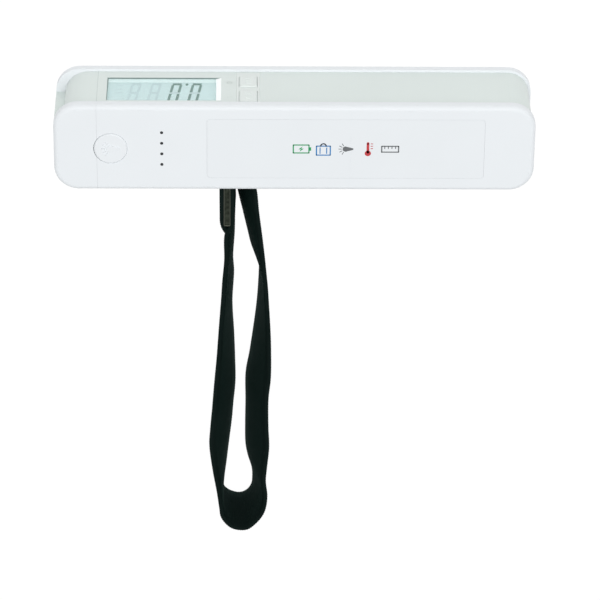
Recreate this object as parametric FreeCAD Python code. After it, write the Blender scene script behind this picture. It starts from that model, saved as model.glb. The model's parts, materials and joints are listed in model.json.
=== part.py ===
"""Luggage-scale power bank with a torch, a thermometer and a webbing carrying strap.

Frame: millimetres. The origin is the centre of the rear cover's outer face. +X runs along the
body, away from the torch. +Y points out of the side that carries the LCD and the keys, and the
strap leaves the opposite side. +Z points out of the front cover, which carries the torch button.
"""
import FreeCAD, Part
import math
import os

V = FreeCAD.Vector
X_AXIS = V(1, 0, 0)
Y_AXIS = V(0, 1, 0)
Z_AXIS = V(0, 0, 1)

# Working tolerances: how far a cutting tool runs past its solid, how close two faces count as one
OVERCUT = 1.0
TOUCH = 0.01
LOOSE = 0.1
PARALLEL = 0.999

# Body: two cover plates with an inset core between them
LENGTH = 160.0
DEPTH = 31.7
HEIGHT = 30.0
COVER = 3.5
CORNER = 8.3
EDGE_ROUND = 1.5
INSET = 0.9
WALL = 2.0
SEAM_X = -65.7
SEAM_GAP = 0.03
CAP_INSET = 3.0
CAP_ROUND = 8.0
CAP_HOLLOW_CORNER = 5.0
WITNESS_X = 18.7
WITNESS = 0.06

# Torch in the end cap
TORCH_HALF = 7.2
TORCH_BORE = 4.6
TORCH_PLUG_HALF = 5.6
TORCH_PLUG_DEPTH = 4.0
TORCH_CHAMFER = 0.5
LENS_DEPTH = 0.7
LENS_THICK = 1.0
LENS_APEX = 0.9
LENS_DOME_R = 9.0
REFLECTOR_THROAT = 2.2
REFLECTOR_WALL = 0.5
LED_HALF = 1.1
LED_DOME_R = 0.8
LED_BOARD = 1.0

# Round torch button and its switch
BUTTON_X = -61.1
BUTTON_R = 5.6
BUTTON_GAP = 0.1
BUTTON_SHIFT = 0.05
BUTTON_PROUD = 0.3
BUTTON_TRAVEL = 0.5
BUTTON_FILLET = 0.5
BUTTON_STEM_R = 2.0
FLANGE = 0.8
FLANGE_REACH = 0.8
RETAIN_GAP = 0.1
SWITCH = 6.0
SWITCH_HEIGHT = 1.6
PLUNGER_R = 1.5
PLUNGER_GAP = 0.05
PLUNGER_PROUD = 0.2
SWITCH_FLOOR = 0.2
PRESS_GAP = 0.1

# Charge indicator lights
LIGHT_X = -44.1
LIGHT_Y_FIRST = -6.0
LIGHT_PITCH = 4.0
LIGHT_COUNT = 4
LIGHT_R = 0.5
LIGHT_GAP = 0.05
CHARGE_LED = (1.6, 1.0, 0.6)
PIPE_GAP = 0.2
CARRIER_HALF = 1.0
CARRIER_END = 1.2

# Front panel inlay
PANEL_X = (-29.1, 63.2)
PANEL_Y = (-11.1, 11.1)
PANEL_DEPTH = 0.6
PANEL_CORNER = 1.2
PANEL_GROOVE = 0.04

# LCD window and module
LCD_X = (-62.6, -24.4)
LCD_Z = (8.0, 24.0)
LCD_BEVEL = 0.3
LCD_BEVEL_WIDE = 1.7
LCD_MARGIN = 1.2
LCD_LIP = 0.3
WINDOW_THICK = 0.8
WINDOW_CORNER = 0.8
MODULE_THICK = 2.0
MODULE_INSET = 0.4
LAYER_GAP = 0.1

# Keys beside the LCD
KEY_X = (-18.3, -12.5)
KEY_Z = ((7.9, 15.0), (18.1, 25.8))
KEY_FRAME_X = (-19.4, -11.5)
KEY_FRAME_Z = (4.6, 26.45)
KEY_FRAME_PROUD = 0.3
KEY_PROUD = 0.7
KEY_GAP = 0.25
KEY_SKIRT_GAP = 0.08
KEY_STEP = 0.6
KEY_TRAVEL = 0.4
KEY_FILLET = 0.5
KEY_FRAME_FILLET = 0.4
KEY_STEM_R = 1.5
KEY_PLUNGER_R = 1.2
KEY_SWITCH = 4.4
KEY_NAMES = ("power_key", "unit_key")

# Circuit boards
BOARD = 1.2
DISPLAY_BOARD_Y = 6.6
DISPLAY_BOARD_X = (-64.6, -9.6)
MAIN_BOARD_Z = 23.0
MAIN_BOARD_X = (-64.8, -31.5)
POWER_BOARD_X = (64.6, 76.9)
POWER_BOARD_HALF = 8.6
POWER_BOARD_Z = 13.4
BOARD_GAP = 0.2
BOARD_LEDGE_X = (-62.8, -35.5)
BOARD_LEDGE = 1.6
BOARD_LEDGE_THICK = 1.5
CHIPS = ((-52.0, 3.5), (-38.0, 2.4))
CHIP_Y = -8.0
CHIP_HALF = 2.2
CHIP_THICK = 1.2
BEAD_X = -34.0
BEAD_R = 0.9
BEAD_RISE = 2.2
BEAD_LEG_R = 0.2
BEAD_LEG_Y = (-8.4, -7.6)
INDUCTOR = (67.5, -5.5)
INDUCTOR_R = 2.4
INDUCTOR_THICK = 3.0
CHARGER_CHIP = (67.5, 5.0)

# Strap, its bar and the slot
BAR_X = -18.0
BAR_Y = -9.0
BAR_R = 1.75
BAR_STEP = 0.35
BAR_SEAT = 0.4
BAR_PLAY = 0.1
WEB = 1.4
WEB_WIDTH = 20.0
WEB_RUN_R = BAR_R + BAR_PLAY + WEB / 2
SLOT_HALF = 10.7
SLOT_MARGIN = 0.7
STRAP_FALL = 5.0
FALL_START_Y = -20.0
FALL_END_Y = -140.0
STRAP_END_Y = -160.8
STRAP_ROUTE = (
    (BAR_X - WEB_RUN_R, BAR_Y),
    (BAR_X - WEB_RUN_R, -55.0),
    (-25.7, -134.0),
    (-24.2, STRAP_END_Y),
    (-11.7, STRAP_END_Y),
    (-12.0, -112.0),
    (-9.3, -66.0),
    (BAR_X + WEB_RUN_R, -28.0),
    (BAR_X + WEB_RUN_R, BAR_Y),
)
CLASP_Y = (-32.8, -13.0)
CLASP_THICK = 2.3
CLASP_EDGE = 0.6
CLASP_FILLET = 0.3
TAIL_Y = (-35.4, -12.0)

# Load cell and shackle
CELL_X = (-58.0, -13.0)
CELL_Y = (-3.0, 3.0)
CELL_Z = (9.0, 21.0)
CELL_HOLE_R = 2.1
CELL_HOLE_X = (-41.0, -31.0)
CELL_LINK_HALF = 0.8
CELL_SCREW_X = (-54.5, -49.5)
CELL_SCREW_START = 2.5
CELL_HEAD_R = 2.2
CELL_HEAD = 1.6
SOCKET_R = 1.0
SOCKET_DEPTH = 1.0
ANVIL = 12.0
GAUGE = (5.0, 0.15, 4.0)
SHACKLE = 1.2
SHACKLE_X = (-23.0, -13.0)
EAR_Z = (3.0, 4.3)
EAR_REACH = 3.6
SHACKLE_SCREW_Z = (11.5, 18.5)
SHACKLE_SCREW = 4.0
SHACKLE_HEAD_R = 2.2
SHACKLE_HEAD = 0.25
SCREW_R = 1.4

# Battery
BATTERY_R = 9.1
BATTERY_X = (-2.0, 63.0)
SLEEVE = 0.2
NIPPLE_R = 2.9
NIPPLE = 1.2
TAB = 0.3
TAB_HALF = 3.0
TAB_DROP = 4.0
TAB_RISE = (6.0, 4.0)
CRADLE_HALF = 8.0
CRADLE_THICK = 1.4
RIB_THICK = 2.0
RIB_TOP = 11.0
RIB_X = (3.0, 30.0, 57.0)
LEAD_R = 0.5
LEAD_BEND = 1.2
LEAD_Y = 2.0
RED_HIGH = 23.0
RED_STEP = 2.8
BLACK_HIGH = 20.0
BLACK_STEP = 3.0
BLACK_Y = 10.6
LEAD_INSET = 1.0

# Ports in the right end
USB_A = (13.1, 5.7, 13.8)
USB_A_LIP = 0.35
USB_A_Z = POWER_BOARD_Z + BOARD
MICRO = (7.5, 2.6, 5.6)
MICRO_LIP = 0.3
SOCKET_PLAY = 0.2
SOCKET_CORNER = 0.6
USB_A_CORNER = 0.5
USB_A_BLADE = (1.8, 3.0, 11.5)
MICRO_BLADE = (0.6, 1.0, 4.4)
TONGUE_ROOT = 2.0
TONGUE_GAP = 0.1
ROOT_SIDE_GAP = 0.15
BLADE_SIDE_GAP = 0.6
CONTACT_Y = (-3.5, -1.0, 1.0, 3.5)
CONTACT_REACH = (2.4, 11.0)
CONTACT_HALF = 0.5
CONTACT_THICK = 0.12
END_INNER = LENGTH / 2 - INSET - WALL

# Case screws: bosses stand on the core's floor side
BOSS_R = 2.3
BOSS_TOP = 9.0
PILOT_R = 0.9
SCREW_SHANK_R = 0.85
SCREW_HEAD_R = 1.9
SCREW_HEAD = 1.0
SCREW_SHANK = 6.4
SCREW_SINK = 0.2
SHANK_PLAY = 0.15
CROSS_HALF = (1.2, 0.25)
CROSS_TOP = 0.8
BOSS_Y = 10.8
BOSSES = ((-61.0, -BOSS_Y), (-6.4, -BOSS_Y), (-6.4, BOSS_Y), (71.0, -BOSS_Y), (71.0, BOSS_Y))
CROSS_RIB_X = (-64.8, -59.5)
CROSS_RIB = 1.5

ARC_SHARE = 0.45
HALF_L = LENGTH / 2
HALF_D = DEPTH / 2
CORE_Y = HALF_D - INSET
CORE_Z = (COVER, HEIGHT - COVER)
MID_Z = HEIGHT / 2
FULL_Z = (-OVERCUT, HEIGHT + OVERCUT)
PANEL_SEAT = HEIGHT - PANEL_DEPTH


def block(x, y, z):
    """Axis-aligned block from three (low, high) spans."""
    return Part.makeBox(x[1] - x[0], y[1] - y[0], z[1] - z[0], V(x[0], y[0], z[0]))


def around(centre, half):
    """Span of the given half width about a centre."""
    return (centre - half, centre + half)


def inset(span, gap):
    """Span made shorter at both ends, or longer for a negative gap."""
    return (span[0] + gap, span[1] - gap)


def edges_along(shape, axis):
    """Straight edges parallel to an axis."""
    found = []
    for edge in shape.Edges:
        run = edge.Vertexes[-1].Point - edge.Vertexes[0].Point
        if run.Length > 0 and abs(run.normalize().dot(axis)) > PARALLEL:
            found.append(edge)
    return found


def edges_at(shape, test):
    """Edges whose bounding box passes a test."""
    return [edge for edge in shape.Edges if test(edge.BoundBox)]


def rounded(x, y, z, radius, axis=Z_AXIS):
    """Block with its four edges along one axis rounded."""
    solid = block(x, y, z)
    return solid.makeFillet(radius, edges_along(solid, axis))


def rod(start, axis, radius, length):
    return Part.makeCylinder(radius, length, V(*start), axis)


def union(shapes):
    return shapes[0].fuse(shapes[1:]).removeSplitter()


def cut(shape, tools):
    return shape.cut(Part.makeCompound(tools)).removeSplitter()


def wire_path(points, bend=None):
    """Edges of straight runs joined by tangent arcs, as large as the runs allow unless bend is given."""
    points = [V(*p) for p in points]
    edges = []
    start = points[0]
    for before, corner, after in zip(points, points[1:], points[2:]):
        back = (before - corner).normalize()
        ahead = (after - corner).normalize()
        half_angle = back.getAngle(ahead) / 2
        shorter = min((before - corner).Length, (after - corner).Length)
        reach = bend / math.tan(half_angle) if bend else ARC_SHARE * shorter
        radius = reach * math.tan(half_angle)
        middle = (back + ahead).normalize()
        entry = corner + back * reach
        leave = corner + ahead * reach
        apex = corner + middle * (radius / math.sin(half_angle) - radius)
        edges.append(Part.LineSegment(start, entry).toShape())
        edges.append(Part.Arc(entry, apex, leave).toShape())
        start = leave
    edges.append(Part.LineSegment(start, points[-1]).toShape())
    return edges


def lead(points, radius, bend):
    """Insulated wire along a path of straight runs and arcs."""
    path = Part.Wire(wire_path(points, bend))
    heading = V(*points[1]) - V(*points[0])
    profile = Part.Wire(Part.makeCircle(radius, V(*points[0]), heading))
    return path.makePipeShell([profile], True, False)


# Housing

def cover_plate(z_low, z_high, outer_z):
    """Full plate outline, rounded along the edge of its outer face."""
    plate = rounded((-HALF_L, HALF_L), (-HALF_D, HALF_D), (z_low, z_high), CORNER)
    rim = edges_at(plate, lambda b: abs(b.ZMin - outer_z) < TOUCH and abs(b.ZMax - outer_z) < TOUCH)
    return plate.makeFillet(EDGE_ROUND, rim)


def cover_pocket(z_low, z_high):
    skin = INSET + WALL
    x = (-HALF_L + skin + CAP_INSET, HALF_L - skin)
    return rounded(x, around(0, HALF_D - skin), (z_low, z_high), CORNER - skin)


def right_of_seam():
    return block((SEAM_X + SEAM_GAP, HALF_L + OVERCUT), around(0, HALF_D + OVERCUT), FULL_Z)


def left_of_seam():
    return block((-HALF_L - OVERCUT, SEAM_X), around(0, HALF_D + OVERCUT), FULL_Z)


def witness_groove():
    """Hairline that crosses a cover's outer face."""
    half = WITNESS / 2
    front = block(around(WITNESS_X, half), (-HALF_D, HALF_D), (HEIGHT - WITNESS, HEIGHT + OVERCUT))
    rear = block(around(WITNESS_X, half), (-HALF_D, HALF_D), (-OVERCUT, WITNESS))
    return [front, rear]


def button_hole():
    return rod((BUTTON_X, 0, HEIGHT - COVER), Z_AXIS, BUTTON_R + BUTTON_GAP, COVER + OVERCUT)


def light_positions():
    return [LIGHT_Y_FIRST + LIGHT_PITCH * i for i in range(LIGHT_COUNT)]


def front_cover():
    plate = cover_plate(HEIGHT - COVER, HEIGHT, HEIGHT).common(right_of_seam())
    tools = [cover_pocket(HEIGHT - COVER - OVERCUT, HEIGHT - WALL), button_hole()]
    tools.append(rounded(PANEL_X, PANEL_Y, (PANEL_SEAT, HEIGHT + OVERCUT), PANEL_CORNER))
    for y in light_positions():
        tools.append(rod((LIGHT_X, y, HEIGHT - COVER), Z_AXIS, LIGHT_R + LIGHT_GAP, COVER + OVERCUT))
    return cut(plate, tools + witness_groove())


def panel_inlay():
    x = (PANEL_X[0] + PANEL_GROOVE, PANEL_X[1] - PANEL_GROOVE)
    y = (PANEL_Y[0] + PANEL_GROOVE, PANEL_Y[1] - PANEL_GROOVE)
    inlay = rounded(x, y, (PANEL_SEAT, HEIGHT), PANEL_CORNER - PANEL_GROOVE)
    return cut(inlay, witness_groove())


def screw_seats():
    seats = []
    for x, y in BOSSES:
        start = (x, y, -OVERCUT)
        seats.append(rod(start, Z_AXIS, SCREW_HEAD_R + SCREW_SINK, SCREW_HEAD + SCREW_SINK + OVERCUT))
        seats.append(rod(start, Z_AXIS, SCREW_SHANK_R + SHANK_PLAY, COVER + 2 * OVERCUT))
    return seats


def rear_cover():
    plate = cover_plate(0, COVER, 0).common(right_of_seam())
    plate = plate.cut(cover_pocket(WALL, COVER + OVERCUT))
    posts = [rod((x, y, WALL / 2), Z_AXIS, BOSS_R, COVER - WALL / 2) for x, y in BOSSES]
    anvil = block((CELL_X[0], CELL_X[0] + ANVIL), CELL_Y, (WALL / 2, CELL_Z[0]))
    plate = union([plate, anvil] + posts)
    pilots = [rod((x, 0, WALL), Z_AXIS, SCREW_R, CELL_Z[0]) for x in CELL_SCREW_X]
    return cut(plate, screw_seats() + pilots + witness_groove())


def core_block():
    """Closed outline of the core between the covers, right of the end cap."""
    x = (-HALF_L, HALF_L - INSET)
    return rounded(x, around(0, CORE_Y), CORE_Z, CORNER - INSET).common(right_of_seam())


def lcd_opening():
    """Window through the wall, its sides sloping in towards the glass."""
    outer_y = CORE_Y + TOUCH
    inner_y = CORE_Y - LCD_LIP
    outer = [(LCD_X[0], LCD_Z[0]), (LCD_X[1], LCD_Z[0]), (LCD_X[1], LCD_Z[1]), (LCD_X[0], LCD_Z[1])]
    left, right = LCD_X[0] + LCD_BEVEL, LCD_X[1] - LCD_BEVEL_WIDE
    low, high = LCD_Z[0] + LCD_BEVEL, LCD_Z[1] - LCD_BEVEL
    inner = [(left, low), (right, low), (right, high), (left, high)]
    loops = []
    for corners, y in ((outer, outer_y), (inner, inner_y)):
        ring = [V(x, y, z) for x, z in corners]
        loops.append(Part.makePolygon(ring + ring[:1]))
    return Part.makeLoft(loops, True)


def window_outline():
    """X and Z spans of the clear window behind the wall."""
    x = (LCD_X[0] - LCD_MARGIN, LCD_X[1] + LCD_MARGIN)
    z = (LCD_Z[0] - LCD_MARGIN, LCD_Z[1] + LCD_MARGIN)
    return x, z


def usb_openings():
    wide, high, _ = USB_A
    x = (END_INNER - OVERCUT, HALF_L)
    z = (USB_A_Z - SOCKET_PLAY, USB_A_Z + high + SOCKET_PLAY)
    usb = rounded(x, around(0, wide / 2 + SOCKET_PLAY), z, SOCKET_CORNER, X_AXIS)
    wide, high, _ = MICRO
    z = (POWER_BOARD_Z - high - SOCKET_PLAY, POWER_BOARD_Z + SOCKET_PLAY)
    micro = rounded(x, around(0, wide / 2 + SOCKET_PLAY), z, SOCKET_CORNER, X_AXIS)
    return [usb, micro]


def core_housing():
    skin = INSET + WALL
    x = (-HALF_L - CORNER, HALF_L - skin)
    z = (CORE_Z[0] - OVERCUT, CORE_Z[1] + OVERCUT)
    hollow = rounded(x, around(0, HALF_D - skin), z, CORNER - skin)
    shell = core_block().cut(hollow)
    bosses = [rod((bx, by, CORE_Z[0]), Z_AXIS, BOSS_R, BOSS_TOP - CORE_Z[0]) for bx, by in BOSSES]
    ledge = block(BOARD_LEDGE_X, (-CORE_Y, -CORE_Y + WALL + BOARD_LEDGE),
                  (MAIN_BOARD_Z - BOARD_LEDGE_THICK, MAIN_BOARD_Z))
    rib = block(CROSS_RIB_X, around(0, CORE_Y - WALL / 2), (CORE_Z[0], CORE_Z[0] + CROSS_RIB))
    shell = union([shell, ledge, rib] + bosses)
    slot = rounded(around(BAR_X, SLOT_HALF), (-HALF_D, -CORE_Y + WALL + OVERCUT / 2),
                   around(MID_Z, WEB_WIDTH / 2 + SLOT_MARGIN), SLOT_MARGIN, Y_AXIS)
    window_x, window_z = window_outline()
    y = (CORE_Y - WALL - OVERCUT / 2, CORE_Y - LCD_LIP)
    rebate = rounded(window_x, y, window_z, WINDOW_CORNER, Y_AXIS)
    keys = block(KEY_FRAME_X, (CORE_Y - WALL - OVERCUT, HALF_D), KEY_FRAME_Z)
    pilots = [rod((bx, by, CORE_Z[0] - OVERCUT), Z_AXIS, PILOT_R, BOSS_TOP - CORE_Z[0]) for bx, by in BOSSES]
    return cut(shell, [slot, keys, rebate, lcd_opening()] + usb_openings() + pilots)


def end_cap():
    """One moulding closes the torch end across all three layers."""
    front = cover_plate(HEIGHT - COVER, HEIGHT, HEIGHT)
    rear = cover_plate(0, COVER, 0)
    x = (-HALF_L + CAP_INSET, 0)
    core = rounded(x, around(0, CORE_Y), CORE_Z, CAP_ROUND)
    solid = union([front, rear, core]).common(left_of_seam())
    skin = INSET + WALL
    hollow = rounded((-HALF_L + CAP_INSET + WALL, 0), around(0, HALF_D - skin), (WALL, HEIGHT - WALL),
                     CAP_HOLLOW_CORNER)
    mouth = block((-HALF_L, -HALF_L + CAP_INSET + WALL + OVERCUT), around(0, TORCH_PLUG_HALF),
                  around(MID_Z, TORCH_PLUG_HALF))
    return cut(solid, [hollow, mouth, button_hole()])


# Torch

def torch_bezel():
    """Square head that fills the gap between the covers, with a round bore for the lens."""
    face = block((-HALF_L, -HALF_L + CAP_INSET), around(0, TORCH_HALF), CORE_Z)
    plug = block((-HALF_L + CAP_INSET, board_face()), around(0, TORCH_PLUG_HALF),
                 around(MID_Z, TORCH_PLUG_HALF))
    bore = rod((-HALF_L - OVERCUT, 0, MID_Z), X_AXIS, TORCH_BORE, LENGTH / 2)
    head = cut(union([face, plug]), [bore])
    widest = 2 * TORCH_BORE + LOOSE
    rim = edges_at(head, lambda b: b.XMax < -HALF_L + TOUCH and b.YLength < widest and b.ZLength < widest)
    return head.makeChamfer(TORCH_CHAMFER, rim)


def lens_x():
    return -HALF_L + LENS_DEPTH


def torch_lens():
    """Clear plano-convex lens."""
    disc = rod((lens_x(), 0, MID_Z), X_AXIS, TORCH_BORE, LENS_THICK)
    dome = Part.makeSphere(LENS_DOME_R, V(lens_x() - LENS_APEX + LENS_DOME_R, 0, MID_Z))
    return disc.common(dome)


def torch_reflector():
    """Thin-walled cone behind the lens."""
    start = lens_x() + LENS_THICK
    depth = board_face() - start
    place = V(start, 0, MID_Z)
    mouth, throat = TORCH_BORE - REFLECTOR_WALL, REFLECTOR_THROAT - REFLECTOR_WALL
    outer = Part.makeCone(TORCH_BORE, REFLECTOR_THROAT, depth, place, X_AXIS)
    inner = Part.makeCone(mouth, throat, depth, place, X_AXIS)
    return outer.cut(inner)


def board_face():
    """X of the LED board's front face, at the back of the torch bezel."""
    return -HALF_L + CAP_INSET + TORCH_PLUG_DEPTH


def torch_led():
    front = board_face() - LED_DOME_R
    base = block((front, board_face()), around(0, LED_HALF), around(MID_Z, LED_HALF))
    dome = Part.makeSphere(LED_DOME_R, V(front, 0, MID_Z))
    return union([base, dome])


def torch_board():
    return rod((board_face(), 0, MID_Z), X_AXIS, TORCH_PLUG_HALF, LED_BOARD)


# Torch button

def torch_button():
    """Cap, retaining flange and stem in one moulding."""
    top = HEIGHT + BUTTON_PROUD
    under = HEIGHT - WALL - RETAIN_GAP
    cap = rod((BUTTON_X + BUTTON_SHIFT, 0, under), Z_AXIS, BUTTON_R, top - under)
    cap = cap.makeFillet(BUTTON_FILLET, edges_at(cap, lambda b: b.ZMin > top - TOUCH))
    flange = rod((BUTTON_X, 0, under - FLANGE), Z_AXIS, BUTTON_R + FLANGE_REACH, FLANGE)
    stem = rod((BUTTON_X, 0, plunger_top()), Z_AXIS, BUTTON_STEM_R, under - plunger_top())
    return union([cap, flange, stem])


def plunger_top():
    return MAIN_BOARD_Z + BOARD + SWITCH_HEIGHT + BUTTON_TRAVEL + PLUNGER_PROUD


def torch_switch():
    base = MAIN_BOARD_Z + BOARD
    body = block(around(BUTTON_X, SWITCH / 2), around(0, SWITCH / 2), (base, base + SWITCH_HEIGHT))
    well = rod((BUTTON_X, 0, base + SWITCH_FLOOR), Z_AXIS, PLUNGER_R + PLUNGER_GAP, SWITCH_HEIGHT)
    return body.cut(well)


def torch_plunger():
    low = MAIN_BOARD_Z + BOARD + SWITCH_FLOOR + BUTTON_TRAVEL + PRESS_GAP
    return rod((BUTTON_X, 0, low), Z_AXIS, PLUNGER_R, plunger_top() - low)


# Display side

def lcd_window():
    x, z = window_outline()
    return rounded(x, (CORE_Y - LCD_LIP - WINDOW_THICK, CORE_Y - LCD_LIP), z, WINDOW_CORNER, Y_AXIS)


def module_back():
    return CORE_Y - LCD_LIP - WINDOW_THICK - LAYER_GAP - MODULE_THICK


def lcd_module():
    x, z = window_outline()
    y = (module_back(), module_back() + MODULE_THICK)
    return block(inset(x, MODULE_INSET), y, inset(z, MODULE_INSET))


def lcd_backlight():
    """Light guide between the LCD glass and the display board."""
    x, z = window_outline()
    y = (DISPLAY_BOARD_Y + BOARD, module_back())
    return block(inset(x, MODULE_INSET), y, inset(z, 2 * MODULE_INSET))


def display_board():
    z = (CORE_Z[0] + CROSS_RIB + BOARD_GAP, MAIN_BOARD_Z + BOARD)
    return block(DISPLAY_BOARD_X, (DISPLAY_BOARD_Y, DISPLAY_BOARD_Y + BOARD), z)


def key_frame():
    """Raised surround with one opening per key."""
    y = (CORE_Y - WALL, CORE_Y + KEY_FRAME_PROUD)
    frame = block(KEY_FRAME_X, y, KEY_FRAME_Z)
    frame = frame.makeFillet(KEY_FRAME_FILLET, edges_at(frame, lambda b: b.YMin > y[1] - TOUCH))
    x = inset(KEY_X, -KEY_GAP)
    holes = [block(x, (0, HALF_D + OVERCUT), inset(z, -KEY_GAP)) for z in KEY_Z]
    return cut(frame, holes)


def key_mid_x():
    return (KEY_X[0] + KEY_X[1]) / 2


def key_plunger_tip():
    """Y where a key's stem meets its switch plunger."""
    return DISPLAY_BOARD_Y + BOARD + SWITCH_HEIGHT + KEY_TRAVEL + PLUNGER_PROUD


def key(z):
    """Key cap with a retaining flange and a stem."""
    top = CORE_Y + KEY_PROUD
    under = CORE_Y - WALL - RETAIN_GAP
    cap = block(KEY_X, (under, top), z)
    cap = cap.makeFillet(KEY_FILLET, edges_at(cap, lambda b: b.YMin > top - TOUCH))
    shrink = KEY_SKIRT_GAP - KEY_GAP
    skirt = block(inset(KEY_X, shrink), (under, top - KEY_STEP), inset(z, shrink))
    flange = block(inset(KEY_X, -FLANGE_REACH), (under - FLANGE, under), inset(z, -FLANGE_REACH))
    middle = sum(z) / 2
    stem = rod((key_mid_x(), key_plunger_tip(), middle), Y_AXIS, KEY_STEM_R, under - key_plunger_tip())
    return union([cap, skirt, flange, stem])


def key_switches():
    bodies = []
    base = DISPLAY_BOARD_Y + BOARD
    for z in KEY_Z:
        middle = sum(z) / 2
        half = KEY_SWITCH / 2
        body = block(around(key_mid_x(), half), (base, base + SWITCH_HEIGHT), around(middle, half))
        start = (key_mid_x(), base + SWITCH_FLOOR, middle)
        well = rod(start, Y_AXIS, KEY_PLUNGER_R + PLUNGER_GAP, SWITCH_HEIGHT)
        bodies.append(body.cut(well))
    return Part.makeCompound(bodies)


def key_plunger(z):
    low = DISPLAY_BOARD_Y + BOARD + SWITCH_FLOOR + KEY_TRAVEL + PRESS_GAP
    return rod((key_mid_x(), low, sum(z) / 2), Y_AXIS, KEY_PLUNGER_R, key_plunger_tip() - low)


# Main board and indicator lights

def main_board():
    y = (-CORE_Y + WALL + LAYER_GAP, DISPLAY_BOARD_Y)
    return block(MAIN_BOARD_X, y, (MAIN_BOARD_Z, MAIN_BOARD_Z + BOARD))


def charge_leds():
    base = MAIN_BOARD_Z + BOARD
    long, wide, high = CHARGE_LED
    return Part.makeCompound([block(around(LIGHT_X, long / 2), around(y, wide / 2), (base, base + high))
                              for y in light_positions()])


def charge_light_pipes():
    """Four clear pins joined by a carrier bar under the front cover."""
    ends = light_positions()
    low = MAIN_BOARD_Z + BOARD + CHARGE_LED[2] + PIPE_GAP
    bar = block(around(LIGHT_X, CARRIER_HALF), (ends[0] - CARRIER_END, ends[-1] + CARRIER_END),
                (HEIGHT - WALL - CARRIER_HALF, HEIGHT - WALL))
    pins = [rod((LIGHT_X, y, low), Z_AXIS, LIGHT_R, HEIGHT - low) for y in ends]
    return union([bar] + pins)


def controller_chips():
    """Scale controller and amplifier under the main board."""
    base = MAIN_BOARD_Z + BOARD
    return Part.makeCompound([block(around(x, half), around(CHIP_Y, CHIP_HALF), (base, base + CHIP_THICK))
                              for x, half in CHIPS])


def thermistor():
    """Glass bead on two legs above the main board."""
    base = MAIN_BOARD_Z + BOARD
    bead = Part.makeSphere(BEAD_R, V(BEAD_X, sum(BEAD_LEG_Y) / 2, base + BEAD_RISE))
    legs = [rod((BEAD_X, y, base), Z_AXIS, BEAD_LEG_R, BEAD_RISE) for y in BEAD_LEG_Y]
    return union([bead] + legs)


# Load cell, shackle and bar

def load_cell():
    """Bending beam, thinned at two spots by a pair of joined holes."""
    beam = block(CELL_X, CELL_Y, CELL_Z)
    low = CELL_Z[0] - OVERCUT
    holes = [rod((x, 0, low), Z_AXIS, CELL_HOLE_R, HEIGHT) for x in CELL_HOLE_X]
    link = block(CELL_HOLE_X, around(0, CELL_LINK_HALF), (low, HEIGHT))
    bolts = [rod((x, 0, low), Z_AXIS, SCREW_R, HEIGHT) for x in CELL_SCREW_X]
    taps = [rod((BAR_X, CELL_Y[0] - OVERCUT, z), Y_AXIS, SCREW_R, SHACKLE_SCREW + OVERCUT)
            for z in SHACKLE_SCREW_Z]
    return cut(beam, holes + [link] + bolts + taps)


def strain_gauges():
    long, thick, high = GAUGE
    pads = []
    for x in CELL_HOLE_X:
        for y in ((CELL_Y[0] - thick, CELL_Y[0]), (CELL_Y[1], CELL_Y[1] + thick)):
            pads.append(block(around(x, long / 2), y, around(MID_Z, high / 2)))
    return Part.makeCompound(pads)


def cell_screws():
    """Two screws clamp the fixed end to the rear cover's anvil."""
    screws = []
    for x in CELL_SCREW_X:
        shank = rod((x, 0, CELL_SCREW_START), Z_AXIS, SCREW_R, CELL_Z[1] - CELL_SCREW_START)
        head = rod((x, 0, CELL_Z[1]), Z_AXIS, CELL_HEAD_R, CELL_HEAD)
        socket = rod((x, 0, CELL_Z[1] + CELL_HEAD - SOCKET_DEPTH), Z_AXIS, SOCKET_R, SOCKET_DEPTH + OVERCUT)
        screws.append(shank.fuse(head).cut(socket).removeSplitter())
    return Part.makeCompound(screws)


def load_shackle():
    """Bent steel U that carries the bar beyond the webbing's edges."""
    back_y = (CELL_Y[0] - SHACKLE, CELL_Y[0])
    ear_y = (BAR_Y - EAR_REACH, CELL_Y[0])
    top_ear = (HEIGHT - EAR_Z[1], HEIGHT - EAR_Z[0])
    back = block(SHACKLE_X, back_y, (EAR_Z[0], top_ear[1]))
    ears = [block(SHACKLE_X, ear_y, z) for z in (EAR_Z, top_ear)]
    body = union([back] + ears)
    holes = [rod((BAR_X, back_y[0] - OVERCUT, z), Y_AXIS, SCREW_R, SHACKLE_SCREW) for z in SHACKLE_SCREW_Z]
    bar_hole = rod((BAR_X, BAR_Y, 0), Z_AXIS, BAR_R - BAR_STEP, HEIGHT)
    return cut(body, holes + [bar_hole])


def strap_bar():
    """Round bar with stepped ends seated in the shackle's ears."""
    middle = rod((BAR_X, BAR_Y, EAR_Z[1]), Z_AXIS, BAR_R, HEIGHT - 2 * EAR_Z[1])
    foot = EAR_Z[0] - BAR_SEAT
    ends = rod((BAR_X, BAR_Y, foot), Z_AXIS, BAR_R - BAR_STEP, HEIGHT - 2 * foot)
    return union([middle, ends])


def shackle_screws():
    screws = []
    for z in SHACKLE_SCREW_Z:
        shank = rod((BAR_X, CELL_Y[0] - SHACKLE, z), Y_AXIS, SCREW_R, SHACKLE_SCREW)
        head = rod((BAR_X, CELL_Y[0] - SHACKLE - SHACKLE_HEAD, z), Y_AXIS, SHACKLE_HEAD_R, SHACKLE_HEAD)
        screws.append(shank.fuse(head).removeSplitter())
    return Part.makeCompound(screws)


# Strap

def strap_outline():
    """Closed centreline: out along one leg, round the far end, back and round the bar."""
    edges = wire_path([(x, y, 0) for x, y in STRAP_ROUTE])
    start = V(*STRAP_ROUTE[0], 0)
    end = V(*STRAP_ROUTE[-1], 0)
    edges.append(Part.Arc(end, V(BAR_X, BAR_Y + WEB_RUN_R, 0), start).toShape())
    return Part.Wire(edges)


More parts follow.
